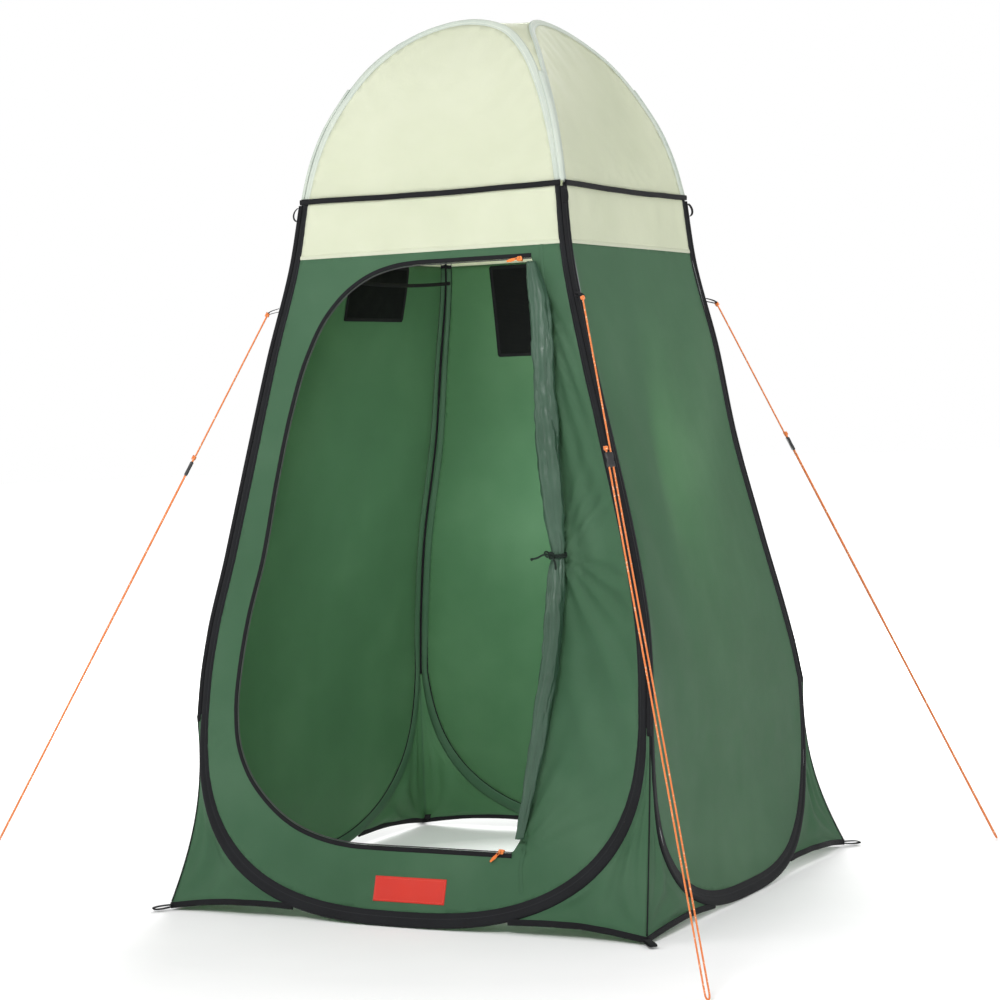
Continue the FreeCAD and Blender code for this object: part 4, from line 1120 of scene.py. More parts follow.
def front_lie(a, z):
    pts = np.stack([np.atleast_1d(a), np.atleast_1d(z)], 1)
    d = np.minimum(dist_poly(pts, resample(np.vstack([_q, _q[:1]]), .02)[:-1]), dist_poly(pts, resample(np.vstack([ZIP, ZIP[:1]]), .02)[:-1]))
    return wr_front(pts[:, 0], pts[:, 1]) * smoothstep(d, 0, .030)


# seam between the pale band and the green wall: a lapped, double-stitched fold
for name in ("front", "right", "back", "left"):
    q = wall_outline(name)
    row = clip_below(clip_above(q, SEAM_Z - .004), SEAM_Z + .004)
    x0, x1 = row[:, 0].min(), row[:, 0].max()
    line = np.array([(x0, SEAM_Z), (x1, SEAM_Z)])
    o = strip_on_wall("seam_" + name, name, line, .009, .0005, M_CREAM, thick=.0005)
    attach(o, "tent")

# =====================================================================
#  Door zip: tape, coil
# =====================================================================
zline = ZIP[ZIP[:, 0] <= .2625] if False else ZIP
cx_ = ZIP.mean(0)
tz_ = np.gradient(ZIP, axis=0)
tz_ /= np.linalg.norm(tz_, axis=1)[:, None]
outn = np.stack([tz_[:, 1], -tz_[:, 0]], 1)
outn *= np.sign(np.sum(outn * (ZIP - cx_), axis=1))[:, None]
tape = strip_on_wall("zip_cloth_tape", "front", ZIP + outn * .0052, .0100, .0006, M_TAPE, thick=.0007)
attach(tape, "tent"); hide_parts("zip_tape")

# spiral coil along the inner edge: a run of small rounded teeth
cl = resample(ZIP - outn * .0016, .00075)
ct = np.gradient(cl, axis=0)
ct /= np.linalg.norm(ct, axis=1)[:, None]
cn = np.stack([ct[:, 1], -ct[:, 0]], 1)
secs = []
run = np.r_[0, np.cumsum(np.linalg.norm(np.diff(cl, axis=0), axis=1))]
tooth = .5 + .5 * np.cos(run / .0030 * 2 * math.pi)
for c_, h_ in ((-.0015, 0.0), (-.0009, .0010), (.0006, .0011), (.0014, 0.0), (.0006, -.0010), (-.0009, -.0009)):
    q = cl + cn * c_ * (.75 + .25 * tooth[:, None])
    secs.append(surf("front", q[:, 0], q[:, 1], h_ * (.6 + .4 * tooth)))
secs = np.stack(secs, 1)
coil = tube_sections("zip_teeth", secs, mat=M_COIL, uv=[(r, 0) for r in np.repeat(run, 6)])
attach(coil, "tent"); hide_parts("zip_coil")

# black facing on the inside of the opening's edge
face_in = strip_on_wall("zip_inner_facing", "front", ZIP + outn * .0056, .0105, -.0006, M_TAPE, thick=-.0006)
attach(face_in, "tent")

# hinge seam: green lapped seam above and below the opening and along its straight edge
hz = np.r_[np.linspace(.088, .168, 10), np.linspace(.205, 1.446, 90), np.linspace(1.458, 1.486, 5)]
hx = np.where(hz < .168, .297 - (hz - .088) / .080 * .015, np.where(hz > 1.45, .292, edge_x(hz) + .010))
hx = np.convolve(np.pad(hx, 4, mode="edge"), np.ones(9) / 9, "valid")
hinge = strip_on_wall("door_seam", "front", np.stack([hx, hz], 1), .009, .0006, M_GREEN, thick=.0009, wr=front_lie)
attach(hinge, "tent"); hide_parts("door_hinge_tape")

# =====================================================================
#  Mesh windows with bound edges
# =====================================================================
for wall, rect_, node in (("left", WIN_LEFT, "window_mesh_left"), ("back", WIN_BACK, "window_mesh_back")):
    a0, a1, z0, z1 = rect_
    # the pane stays inside the sleeves at its top corners
    lim = wall_outline(wall)
    g = np.linspace(a0, a1, 60)
    gz = np.linspace(z0, z1, 40)
    A, Z = np.meshgrid(g, gz)
    pl = WR[wall]
    sag = pl(A, Z) * .9 - .0016
    P = surf(wall, A, Z, sag)
    m = len(g)
    faces = [(j * m + i, j * m + i + 1, (j + 1) * m + i + 1, (j + 1) * m + i) for j in range(len(gz) - 1) for i in range(m - 1)]
    o = link("net_" + wall, P.reshape(-1, 3), faces, uv=np.stack([A, Z], -1).reshape(-1, 2), mat=M_MESH)
    fix_normals(o)
    solidify(o, .0004)
    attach(o, "tent"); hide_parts(node)
    ring_ = np.array([(a0 + .003, z0 + .003), (a1 - .003, z0 + .003), (a1 - .003, z1 - .003), (a0 + .003, z1 - .003)])
    for side_ in range(4):
        line = np.array([ring_[side_], ring_[(side_ + 1) % 4]])
        for sgn, of_ in ((1, .0006), (-1, -.0022)):
            b_ = strip_on_wall("net_edge_%s_%d_%s" % (wall, side_, "out" if sgn > 0 else "in"), wall, line, .009,
                               of_, M_TAPE if sgn < 0 else M_GREEN, thick=sgn * .0006, wr=lambda a, z, pl=pl: pl(a, z) * .9)
            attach(b_, "tent")

# =====================================================================
#  Gathered door leaf: a loose roll, pinched by its tie
# =====================================================================
bz = np.array([b[0] for b in BUNDLE])[::-1]
b_x0, b_x1, b_d = [pchip(bz, np.array([b[k] for b in BUNDLE])[::-1]) for k in (1, 2, 3)]


def build_leaf():
    rows = 210
    turns, per = 6, 30
    z = np.linspace(.200, 1.449, rows)
    th = np.linspace(0, turns * 2 * math.pi, turns * per)
    nf, ng, nh = Noise(301), Noise(302), Noise(303)
    V_, UV = [], []
    for zi in z:
        zc_ = min(max(zi, .205), 1.446)
        x0, x1, dpt = float(b_x0(zc_)), float(b_x1(zc_)), float(b_d(zc_))
        cx, a, b = (x0 + x1) / 2, (x1 - x0) / 2, dpt / 2
        y0 = -float(wall_depth(zi)) - .0045
        near = math.exp(-((zi - TIE_Z) / .050) ** 2)
        ends = math.exp(-((zi - 1.446) / .10) ** 2) + math.exp(-((zi - .205) / .09) ** 2)
        k = th / th[-1]                                   # 0 outside, 1 inside
        rad = 1.0 - .72 * k
        drift = .30 * math.sin(zi * 7.0) + 1.1 * zi
        ang = -math.pi * .75 + th + .25 * k * math.sin(zi * 9)
        # rounded folds with sharp valleys between them, tighter at the tie and the ends
        wv = np.abs(np.sin(2.5 * (ang + drift) + 1.6 * nf(np.full_like(ang, zi * 5), ang * .8)))
        dp = .29 + .12 * near + .05 * min(1, ends)
        cr = .060 * ng(ang * 2.1 + 5, np.full_like(ang, zi * 23)) + .100 * nh(ang * 3.9 + zi * 24, np.full_like(ang, zi * 46))
        rr = rad * ((.96 - dp) + dp * wv ** .62 + cr * (1 - .4 * k))
        rr = np.minimum(rr, 1.0)
        x = cx + a * rr * np.cos(ang)
        y = y0 - b - b * rr * np.sin(-ang) * 1.0
        # the cloth comes to the roll from its seam on the wall
        sx = float(edge_x(zc_)) + .004
        lead = [(sx, y0 + .0035), (sx + (x[0] - sx) * .5, y0 + .0022 + (y[0] - y0) * .25)]
        row = [(lx, ly, zi) for lx, ly in lead] + [(px, py, zi) for px, py in zip(x, y)]
        V_.append(row)
        run = np.r_[0, np.cumsum(np.hypot(np.diff([r[0] for r in row]), np.diff([r[1] for r in row])))]
        UV.append([(u, zi) for u in run])
    V_ = np.array(V_)
    m = V_.shape[1]
    faces = [(j * m + i, j * m + i + 1, (j + 1) * m + i + 1, (j + 1) * m + i) for j in range(rows - 1) for i in range(m - 1)]
    o = link("door_flap", V_.reshape(-1, 3), faces, uv=np.array(UV).reshape(-1, 2), mat=M_LEAF_PAINTED_SHADE)
    fix_normals(o)
    ar = sum(p.area for p in o.data.polygons)
    solidify(o, .0005)
    return o, ar


# painted shade: the roll is the walls' green cloth painted darker, for the shade within its folds
M_LEAF_PAINTED_SHADE = fabric("green_roll_painted_shade", (.033, .083, .049), (.020, .054, .031), (.055, .118, .076), rough=.36, sheen=.0,
                trans=.10, tcol=(.20, .38, .22), spec=.50, crease=.40)
leaf, ar = build_leaf()
areas["leaf"] = ar
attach(leaf, "tent"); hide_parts("door_leaf")

# tie: soft dark cord twice round the roll, knotted in front, with two loose ends
yb = -float(wall_depth(TIE_Z)) - .0045
tb_d = .027
ring_pts = []
for i in range(97):
    t = i / 96 * 2 * 2 * math.pi
    dz = -.004 + .008 * i / 96 + .0008 * math.sin(3 * t)
    ring_pts.append((.347 + .0195 * math.cos(t), yb - tb_d / 2 - .0162 * math.sin(t), TIE_Z + dz))
M_TIE = webbing("dark_tie", (.007, .014, .010), (.014, .026, .019), rib=900, rough=.7, strength=.5, sheen=.03, spec=.2)
tie = sweep_points("door_tie_cord", ring_pts, .0024, 8, M_TIE)
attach(tie, "tent"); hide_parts("door_tie")
kx, ky, kz = .341, yb - tb_d - .0055, TIE_Z


def bezier(pts, n):
    pts = [Vector(p) for p in pts]
    out = []
    for i in range(n + 1):
        t = i / n
        q = pts[:]
        while len(q) > 1:
            q = [a.lerp(b, t) for a, b in zip(q[:-1], q[1:])]
        out.append(q[0])
    return out


kn_parts = []
kp = []
for i in range(121):
    t = i / 120 * 2 * math.pi
    kp.append((kx + .0052 * math.cos(2 * t) * (1 + .35 * math.cos(3 * t)), ky - .0008 - .0034 * math.sin(3 * t),
               kz + .0052 * math.sin(2 * t) * (1 + .35 * math.cos(3 * t))))
kn_parts.append(sweep_points("tie_knot_core", kp, .0022, 8, M_TIE))
kn_parts.append(sweep_points("tie_tail_a", bezier([(kx, ky, kz), (kx - .018, ky - .009, kz + .012), (kx - .028, ky - .004, kz - .012), (kx - .040, ky + .001, kz - .004), (kx - .050, ky + .002, kz - .009)], 40), .0023, 8, M_TIE, taper=lambda t: 1 + .5 * max(0, t - .85) / .15))
kn_parts.append(sweep_points("tie_tail_b", bezier([(kx, ky, kz), (kx + .012, ky - .008, kz - .006), (kx + .014, ky - .003, kz - .028), (kx + .008, ky - .001, kz - .036)], 30), .0023, 8, M_TIE, taper=lambda t: 1 + .5 * max(0, t - .85) / .15))
kn_parts.append(sweep_points("tie_tail_c", bezier([(kx, ky, kz), (kx - .010, ky - .006, kz + .018), (kx - .020, ky - .008, kz + .004), (kx - .006, ky - .004, kz - .004)], 30), .0021, 8, M_TIE))


knot = join_objs("door_tie_bow", kn_parts)
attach(knot, "tent"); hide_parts("door_tie_knot")

# =====================================================================
#  Dome
# =====================================================================
def harmonic(v, f, fixed, val, iters=700, weight=None):
    """Taut membrane: each free vertex at the mean of its neighbours."""
    n = len(v)
    e = np.vstack([f[:, [0, 1]], f[:, [1, 2]], f[:, [2, 0]]])
    e = np.unique(np.sort(e, axis=1), axis=0)
    i = np.r_[e[:, 0], e[:, 1]]
    j = np.r_[e[:, 1], e[:, 0]]
    # Jacobi on a duplicated edge list
    deg = np.bincount(i, minlength=n).astype(float)
    x = val.copy()
    free = ~fixed
    for k in range(iters):
        s = np.bincount(i, weights=x[j], minlength=n) / deg
        x[free] = s[free]
    return x


def side_map(name, a, z, depth):
    return to_side(name, np.stack([a, depth, z], 1))


DS = .012
for k, name in enumerate(("front", "right", "back", "left")):
    P, S, Nn = ARCH[name]
    E = P + S * (.0138 / 2 + .0025 * smoothstep(P[:, 2], 1.62, 1.90) - .003)[:, None]
    inv = {"front": lambda p: (p[:, 0], -p[:, 1]), "back": lambda p: (p[:, 0], p[:, 1]),
           "right": lambda p: (p[:, 1], p[:, 0]), "left": lambda p: (p[:, 1], -p[:, 0])}[name]
    a, dep = inv(E)
    outline = np.stack([a, E[:, 2]], 1)
    outline[0, 1] = outline[-1, 1] = RING_Z + .0003
    dr = pchip(np.r_[1.6203, E[1:len(E) // 2, 2][::4]], np.r_[.337, dep[1:len(E) // 2][::4]])
    v, f, border = fill_2d(outline, (), DS)
    val = dr(v[:, 1])
    flatm = harmonic(v, f, border, val.copy(), 500)
    dd = dist_poly(v, resample(np.vstack([outline, outline[:1]]), .02)[:-1])
    depth = val * .45 + flatm * .55
    nz1, nz2, nz3 = Noise(401 + k), Noise(411 + k), Noise(421 + k)
    # small crinkles, stronger towards the arch where the cloth is eased in
    wrk = (.0024 * nz1(v[:, 0] * 5, v[:, 1] * 5) + .0011 * nz2(v[:, 0] * 17 + v[:, 1] * 6, v[:, 1] * 17) + .0006 * nz3(v[:, 0] * 42, v[:, 1] * 38))
    wrk = wrk + .0016 * np.sin(np.arctan2(v[:, 1] - 1.62, v[:, 0]) * 46 + 3 * nz1(v[:, 0] * 4, v[:, 1] * 4)) * np.exp(-(dd / .05) ** 2) * smoothstep(dd, .004, .02)
    depth = depth + wrk * smoothstep(dd, 0, .03)
    o = link("dome_" + name, side_map(name, v[:, 0], v[:, 1], depth), f, uv=v, mat=M_CREAM)
    fix_normals(o)
    areas["dome_" + name] = sum(p.area for p in o.data.polygons)
    solidify(o, .0008)
    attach(o, "tent"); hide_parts("dome_panel_" + name)

# roof patch: plan outline over the four arches
tops = {}
for name in ("front", "right", "back", "left"):
    P, S, Nn = ARCH[name]
    tops[name] = P - S * (.0094 - .003) + Nn * .0006
H_ = len(tops["front"]) // 2


def cut_at(line, z):
    """Part of an arch line above a height."""
    return line[line[:, 2] >= z]


ZM = 1.868
fr_, ri_, ba_, le_ = (cut_at(tops[n], ZM) for n in ("front", "right", "back", "left"))
loop3 = np.vstack([fr_, ri_, ba_[::-1], le_[::-1]])
plan = loop3[:, :2]
v, f, border = fill_2d(plan, (), DS)
# heights on the border from the nearest outline point
idx = np.array([np.argmin(np.sum((resample(loop3, .004)[:, :2] - q) ** 2, axis=1)) for q in v[border]])
zb_ = resample(loop3, .004)[idx, 2]
val = np.full(len(v), 2.0)
val[border] = zb_
zv = harmonic(v, f, border, val, 1200)
dd = dist_poly(v, resample(np.vstack([plan, plan[:1]]), .01)[:-1])
r_ = np.hypot(v[:, 0], v[:, 1])
zv = zv - .006 * np.exp(-(r_ / .12) ** 2) + (.0022 * n1(v[:, 0] * 7, v[:, 1] * 7) + .0012 * n2(v[:, 0] * 21, v[:, 1] * 21) + .0006 * n3(v[:, 0] * 47, v[:, 1] * 47)) * smoothstep(dd, 0, .03)
o = link("roof_cloth", np.c_[v, zv], f, uv=v, mat=M_CREAM)
fix_normals(o)
areas["roof"] = sum(p.area for p in o.data.polygons)
solidify(o, .0008)
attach(o, "tent"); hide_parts("roof_patch")

# ridge seams where neighbouring arches meet, from the ring up to the roof
for tag, (sx, sy) in {"fl": (-1, -1), "fr": (1, -1), "br": (1, 1), "bl": (-1, 1)}.items():
    zz = np.linspace(1.624, 1.880, 40)
    rc = pchip([1.62, 1.695, 1.775, 1.855, 1.932], [.337, .323, .300, .264, .222])
    c = rc(zz)
    pts = [(sx * (q + .0), sy * (q + .0), h) for q, h in zip(c, zz)]
    d = np.array([sx, sy, 0]) / math.sqrt(2)
    w = np.array([-sy, sx, 0]) / math.sqrt(2)
    secs = []
    for p in pts:
        p = np.array(p)
        secs.append([p + d * x + w * y for x, y in ((.0028, 0), (.0014, .0045), (-.0016, .0078), (-.0032, .0040), (-.0038, 0), (-.0032, -.0040), (-.0016, -.0078), (.0014, -.0045))])
    o = tube_sections("ridge_" + tag, np.array(secs), mat=M_ARCH, uv=[(i * .007, j * .001) for i in range(40) for j in range(8)])
    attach(o, "tent")

# =====================================================================
#  Corner bindings and ring binding
# =====================================================================
CN = {"fl": (-1, -1), "fr": (1, -1), "br": (1, 1), "bl": (-1, 1)}


def corner_pt(tag, z):
    sx, sy = CN[tag]
    a = float((c_af if sy < 0 else c_ab)(z))
    return np.array([sx * a, sy * float(c_b(z)), z])


parts_ = []
for tag, (sx, sy) in CN.items():
    zz = np.linspace(.424, 1.612, 120)
    secs, uvs = [], []
    for i, h in enumerate(zz):
        p = corner_pt(tag, h)
        ring = []
        for j, (x, y) in enumerate(((-.0052, -.0030), (-.0030, -.0052), (.0022, -.0048), (.0040, -.0030), (.0048, .0005), (.0046, .0036), (.0036, .0046), (.0005, .0048), (-.0030, .0040), (-.0048, .0022))):
            ring.append(p + np.array([sx * x, sy * y, 0]))
            uvs.append((h, j * .002))
        secs.append(ring)
    parts_.append(tube_sections("corner_" + tag, np.array(secs), mat=M_TAPE, uv=uvs))
cb = join_objs("corner_tapes", parts_)
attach(cb, "tent"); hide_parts("corner_bindings")

parts_ = []
nzr = Noise(77)
A_, B_, AB_ = .337, .337, .337
for nm, p, q, nn in (("f", (-A_, -B_), (A_, -B_), (0, -1)), ("b", (-AB_, B_), (AB_, B_), (0, 1)),
                     ("l", (-A_, -B_), (-AB_, B_), (-1, 0)), ("r", (A_, -B_), (AB_, B_), (1, 0))):
    n_ = 120
    t = np.linspace(.004, .996, n_)
    P = np.array([(p[0] + (q[0] - p[0]) * x, p[1] + (q[1] - p[1]) * x, RING_Z) for x in t])
    nv = np.array([nn[0], nn[1], 0.0])
    secs, uvs = [], []
    for i in range(n_):
        # the seam sags a touch between the hoops
        sag = -.0035 * math.sin(math.pi * t[i]) + .0007 * float(nzr(t[i] * 9, 3))
        ring = []
        for j, (o_, h_) in enumerate(((.0050, -.0062), (.0068, -.0060), (.0076, -.0030), (.0079, 0), (.0076, .0030), (.0068, .0060), (.0050, .0062), (.0046, 0))):
            ring.append(P[i] + nv * o_ + np.array([0, 0, h_ + sag]))
            uvs.append((t[i] * .67, (j - 3) * .002))
        secs.append(ring)
    parts_.append(tube_sections("ring_" + nm, np.array(secs), mat=M_TAPE, uv=uvs))
rb = join_objs("ring_tape", parts_)
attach(rb, "tent"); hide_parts("ring_binding")

# =====================================================================
#  Gussets with hems
# =====================================================================
def lerp_path(P, t):
    d = np.r_[0, np.cumsum(np.linalg.norm(np.diff(P, axis=0), axis=1))]
    x = np.clip(t, 0, 1) * d[-1]
    return np.stack([np.interp(x, d, P[:, k]) for k in range(3)], 1)


hem_parts = []
for gi, (tag, (sx, sy)) in enumerate(CN.items()):
    fx, fy = (.573 if sy < 0 else .540), .494
    k = np.linspace(0, 1, 60)
    zS = (SPLIT_Z + .010) * (1 - k) + .012 * k
    bow = np.sin(math.pi * k ** 1.1) * .014
    fla = k ** 1.8
    xS = (fx + .003) + (PEG - fx - .003) * fla - bow * .6
    yS = (fy + .003) + (PEG - fy - .003) * fla - bow * .9
    S3 = np.stack([sx * xS, sy * yS, zS], 1)
    objs = []
    for which in (0, 1):
        if which == 0:
            nm = "front" if sy < 0 else "back"
            end = sx
            nrm = np.array([0, sy, 0.0])
        else:
            nm = "right" if sx > 0 else "left"
            end = sy
            nrm = np.array([sx, 0, 0.0])
        p2, s2, W = HOOP[nm]
        half_n = len(p2) // 2
        o2 = p2 - s2 * (W / 2 - .0025)[:, None]
        h2 = o2[:half_n + 1] if end < 0 else o2[half_n:][::-1]
        h2 = h2[(h2[:, 1] < SPLIT_Z + .012)]
        # down to where the sleeve is well under way along the ground
        amin = {0: .27, 1: .235}[which]
        h2 = h2[np.abs(h2[:, 0]) > amin]
        h3 = surf(nm, h2[:, 0], h2[:, 1])
        nu, nv_ = 64, 26
        A_p = lerp_path(h3, np.linspace(0, 1, nu))
        tt = np.linspace(0, 1, nu)
        S_p = lerp_path(S3, tt ** 1.0)
        nz = Noise(500 + gi * 2 + which)
        V_, UV = [], []
        for j in range(nv_):
            v_ = j / (nv_ - 1)
            Q = A_p * (1 - v_) + S_p * v_
            d_ = math.sin(math.pi * v_)
            # pulled out to the peg: creases run up from it, and the lower edge lifts a little
            ph = np.arctan2(v_ - 1.02, 1.02 - tt) * 9
            wr = (.0045 * np.sin(ph * 1.6 + 2 * nz(tt * 3, np.full(nu, v_ * 3))) * smoothstep(tt, .25, .8) * (1 - smoothstep(tt, .93, 1.0) * .6)
                  + .0050 * nz(tt * 3 + 1, np.full(nu, v_ * 2.2)) + .0014 * nz(tt * 11, np.full(nu, v_ * 8)))
            wr = wr * d_ * smoothstep(tt, 0, .12)
            lift = np.array([0, 0, 1.0]) * (.010 * math.sin(math.pi * v_) * smoothstep(tt, .90, 1.0))[:, None]
            Q = Q + nrm * wr[:, None] + lift
            Q[:, 2] = np.maximum(Q[:, 2], .0035)
            V_.append(Q)
            UV.append(np.stack([tt * .45, np.full(nu, v_ * .3)], 1))
        V_ = np.array(V_)
        faces = [(j * nu + i, j * nu + i + 1, (j + 1) * nu + i + 1, (j + 1) * nu + i) for j in range(nv_ - 1) for i in range(nu - 1)]
        o = link("gus_%s_%d" % (tag, which), V_.reshape(-1, 3), faces, uv=np.array(UV).reshape(-1, 2), mat=M_GREEN)
        fix_normals(o)
        objs.append(o)
        # hem: folded black tape along the free edge
        edge_line = V_[:, -1, :]
        n_ = len(edge_line)
        edge_line = resample(edge_line, .006)
        T_ = np.gradient(edge_line, axis=0)
        T_ /= np.linalg.norm(T_, axis=1)[:, None]
        secs, uvs = [], []
        runh = np.r_[0, np.cumsum(np.linalg.norm(np.diff(edge_line, axis=0), axis=1))]
        for i, q in enumerate(edge_line):
            w3 = np.cross(T_[i], [0, 0, 1.0])
            w3 /= np.linalg.norm(w3)
            base = max(q[2], .0095)
            q0 = np.array([q[0], q[1], base])
            ring = []
            for j, (x, y) in enumerate(((-.0013, .0055), (-.0019, .0030), (-.0019, -.0050), (-.0010, -.0082), (.0010, -.0082), (.0019, -.0050), (.0019, .0030), (.0013, .0055))):
                ring.append(q0 + w3 * x + np.array([0, 0, y]))
                uvs.append((runh[i], y))
            secs.append(ring)
        hem_parts.append(tube_sections("hem_%s_%d" % (tag, which), np.array(secs), mat=M_TAPE, uv=uvs))
    g = join_objs("gusset_cloth_" + tag, objs)
    merge(g, .0008)
    areas["gusset_" + tag] = sum(p.area for p in g.data.polygons)
    solidify(g, .0008)
    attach(g, "tent"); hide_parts("gusset_" + tag)
    # raised seam down the middle of the gusset
    sm = S3 + np.array([sx, sy, 0]) / math.sqrt(2) * .0012
    hem_parts.append(sweep_points("gus_seam_" + tag, resample(sm, .008)[1:-1], .0016, 6, M_TAPE))
hems = join_objs("gusset_tapes", hem_parts)
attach(hems, "tent"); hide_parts("gusset_hems")


def ribbon(name, path, width_dir, width, thick, mat, taper=None):
    """Flat webbing along a path; width_dir is the direction across it."""
    P = np.array(path, float)
    T_ = np.gradient(P, axis=0)
    T_ /= np.linalg.norm(T_, axis=1)[:, None]
    run = np.r_[0, np.cumsum(np.linalg.norm(np.diff(P, axis=0), axis=1))]
    wd = np.array(width_dir, float)
    secs, uvs = [], []
    for i in range(len(P)):
        u = wd - T_[i] * (wd @ T_[i])
        u /= np.linalg.norm(u)
        n = np.cross(T_[i], u)
        w = width * (taper(run[i] / run[-1]) if taper else 1)
        ring = []
        for a, b in ((-.5, -.25), (-.46, -.5), (.46, -.5), (.5, -.25), (.5, .25), (.46, .5), (-.46, .5), (-.5, .25)):
            ring.append(P[i] + u * (a * w) + n * (b * thick))
            uvs.append((run[i], a * w))
        secs.append(ring)
    return tube_sections(name, np.array(secs), mat=mat, uv=uvs)


# peg loops: webbing folded on itself, stitched at the gusset, open at the end
LOOP_L = .052
loops = []
for tag, (sx, sy) in CN.items():
    d = np.array([sx, sy, 0]) / math.sqrt(2)
    w = np.array([-sy, sx, 0]) / math.sqrt(2)
    o = np.array([sx * (PEG - .010), sy * (PEG - .010), 0])
    L = LOOP_L + .010
    prof = bezier([(0, 0, .0120), (L * .35, 0, .0120), (L * .75, 0, .0125), (L * 1.16, 0, .0115), (L * 1.16, 0, .0015), (L * .75, 0, .0012), (L * .35, 0, .0060), (0, 0, .0098)], 60)
    path = [o + d * p.x + np.array([0, 0, max(p.z, .0016)]) for p in prof]
    loops.append(ribbon("loop_" + tag, path, w, .015, .0016, M_TAPE))
    # a dark corner patch joins loop and gusset
    pt = [o + d * x + np.array([0, 0, z]) for x, z in ((-.016, .0300), (-.006, .0200), (.002, .0140), (.010, .0132))]
    loops.append(ribbon("patch_" + tag, resample(np.array(pt), n=12), w, .017, .0016, M_TAPE))
pl = join_objs("peg_webbing", loops)
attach(pl, "tent"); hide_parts("peg_loops")

# tabs under the ring at each corner
tabs = []
for tag, (sx, sy) in CN.items():
    p = corner_pt(tag, 1.596)
    d = np.array([sx, sy, 0]) / math.sqrt(2)
    w = np.array([-sy, sx, 0]) / math.sqrt(2)
    o = p + d * .0060
    path = bezier([tuple(o + np.array([0, 0, .010])), tuple(o + d * .006 + np.array([0, 0, .006])), tuple(o + d * .014 + np.array([0, 0, -.004])), tuple(o + d * .012 + np.array([0, 0, -.017])), tuple(o + d * .004 + np.array([0, 0, -.020]))], 16)
    tabs.append(ribbon("tab_" + tag, [tuple(q) for q in path], w, .012, .0016, M_TAPE))
tb = join_objs("ring_corner_tabs", tabs)
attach(tb, "tent"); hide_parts("ring_tabs")

# guy tabs: a folded webbing loop through which the cord is knotted
tabs = []
for tag, (sx, sy) in CN.items():
    p = corner_pt(tag, 1.372)
    d = np.array([sx, sy, 0]) / math.sqrt(2)
    w = np.array([-sy, sx, 0]) / math.sqrt(2)
    o = p + d * .0060
    up_ = np.array([0, 0, 1.0])
    A_k, G_k = np.array(GUYS[tag][0]), np.array(GUYS[tag][1])
    ln_ = (G_k - A_k) / np.linalg.norm(G_k - A_k)
    tip_ = A_k - ln_ * .0085
    poly_ = np.array([o + up_ * .0035, o * .4 + tip_ * .6 + up_ * .0034, tip_ - d * .002 + up_ * .0026, tip_ + d * .0012,
                      tip_ - d * .002 - up_ * .0026, o * .4 + tip_ * .6 - up_ * .0030, o - up_ * .0040])
    path = smooth_line(resample(poly_, n=34), 3)
    tabs.append(ribbon("gtab_" + tag, [tuple(q) for q in path], w, .012, .0015, M_TAPE))
tb = join_objs("guy_webbing_tabs", tabs)
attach(tb, "tent"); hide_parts("guy_tabs")

# =====================================================================
#  Tensioners: rounded plastic runners with two eyes and finger notches
# =====================================================================
TENS = {"fl": ((-.55286, -.52611, 1.01333), (-.360933, -.333889, -.870773)),
        "fr": ((.53180, -.55473, 1.01340), (.323023, -.385771, -.864197)),
        "br": ((.53015, .49667, 1.01308), (.355626, .269779, -.894846)),
        "bl": ((-.52852, .52272, 1.01324), (-.359569, .312208, -.879338))}


def tensioner_mesh(name, c, line):
    """Plate with a waist and two through holes, built as a ring-by-ring hull."""
    l = np.array(line, float)
    l /= np.linalg.norm(l)
    ac = np.cross(l, (0, 0, 1.0))
    ac /= np.linalg.norm(ac)
    th = np.cross(l, ac)
    c = np.array(c)
    n_ = 26
    V_, F_ = [], []
    K = 40
    for i in range(n_ + 1):
        s = -1 + 2 * i / n_
        # outline along the cord: waisted in the middle, rounded at the ends
        wid = .0090 - .0016 * math.exp(-(s / .35) ** 2)
        endr = math.sqrt(max(0.0, 1 - max(0, (abs(s) - .82) / .18) ** 2)) if abs(s) > .82 else 1.0
        hx = (wid - .0022) + .0022 * endr
        hy = .0035 * (.55 + .45 * endr)
        for k in range(K):
            t = 2 * math.pi * k / K
            ct, st = math.cos(t), math.sin(t)
            x = hx * abs(ct) ** .45 * (1 if ct >= 0 else -1)
            y = hy * abs(st) ** .65 * (1 if st >= 0 else -1)
            V_.append(c + ac * x + th * y + l * (s * .018))
    for i in range(n_):
        for k in range(K):
            a = i * K + k
            b = i * K + (k + 1) % K
            F_.append((a, b, b + K, a + K))
    F_.append(tuple(range(K - 1, -1, -1)))
    F_.append(tuple(range(n_ * K, (n_ + 1) * K)))
    o = link(name, V_, F_, mat=M_PLASTIC)
    fix_normals(o)
    # the two eyes
    for sg in (-1, 1):
        cut = sweep_points("cut", [c + ac * (sg * .0045) + l * q for q in (-.03, 0.0, .03)], .00245, 20)
        m = o.modifiers.new("eye", "BOOLEAN")
        m.object = cut
        m.operation = "DIFFERENCE"
        m.solver = "EXACT"
        apply_mods(o)
        bpy.data.objects.remove(cut, do_unlink=True)
    o.data.polygons.foreach_set("use_smooth", [True] * len(o.data.polygons))
    bevel(o, .0004, 2, 40)
    if not o.data.materials:
        o.data.materials.append(M_PLASTIC)
    return o


tens_obj = {}
for tag, (c, l) in TENS.items():
    o = tensioner_mesh("runner_" + tag, c, l)
    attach(o, "tensioner_" + tag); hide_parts("tensioner_" + tag)
    tens_obj[tag] = o
    cord, A, total, top, stop = guy_made[tag]

# =====================================================================
#  Zip sliders and pulls
# =====================================================================
def wall_frame(x, z):
    up = np.array([0, -(float(wall_depth(z + .002)) - float(wall_depth(z - .002))), .004])
    up /= np.linalg.norm(up)
    n = np.cross(up, (1, 0, 0))
    n /= np.linalg.norm(n)
    if n[1] > 0:
        n = -n
    return np.array([x, -float(wall_depth(z)), z]), up, n


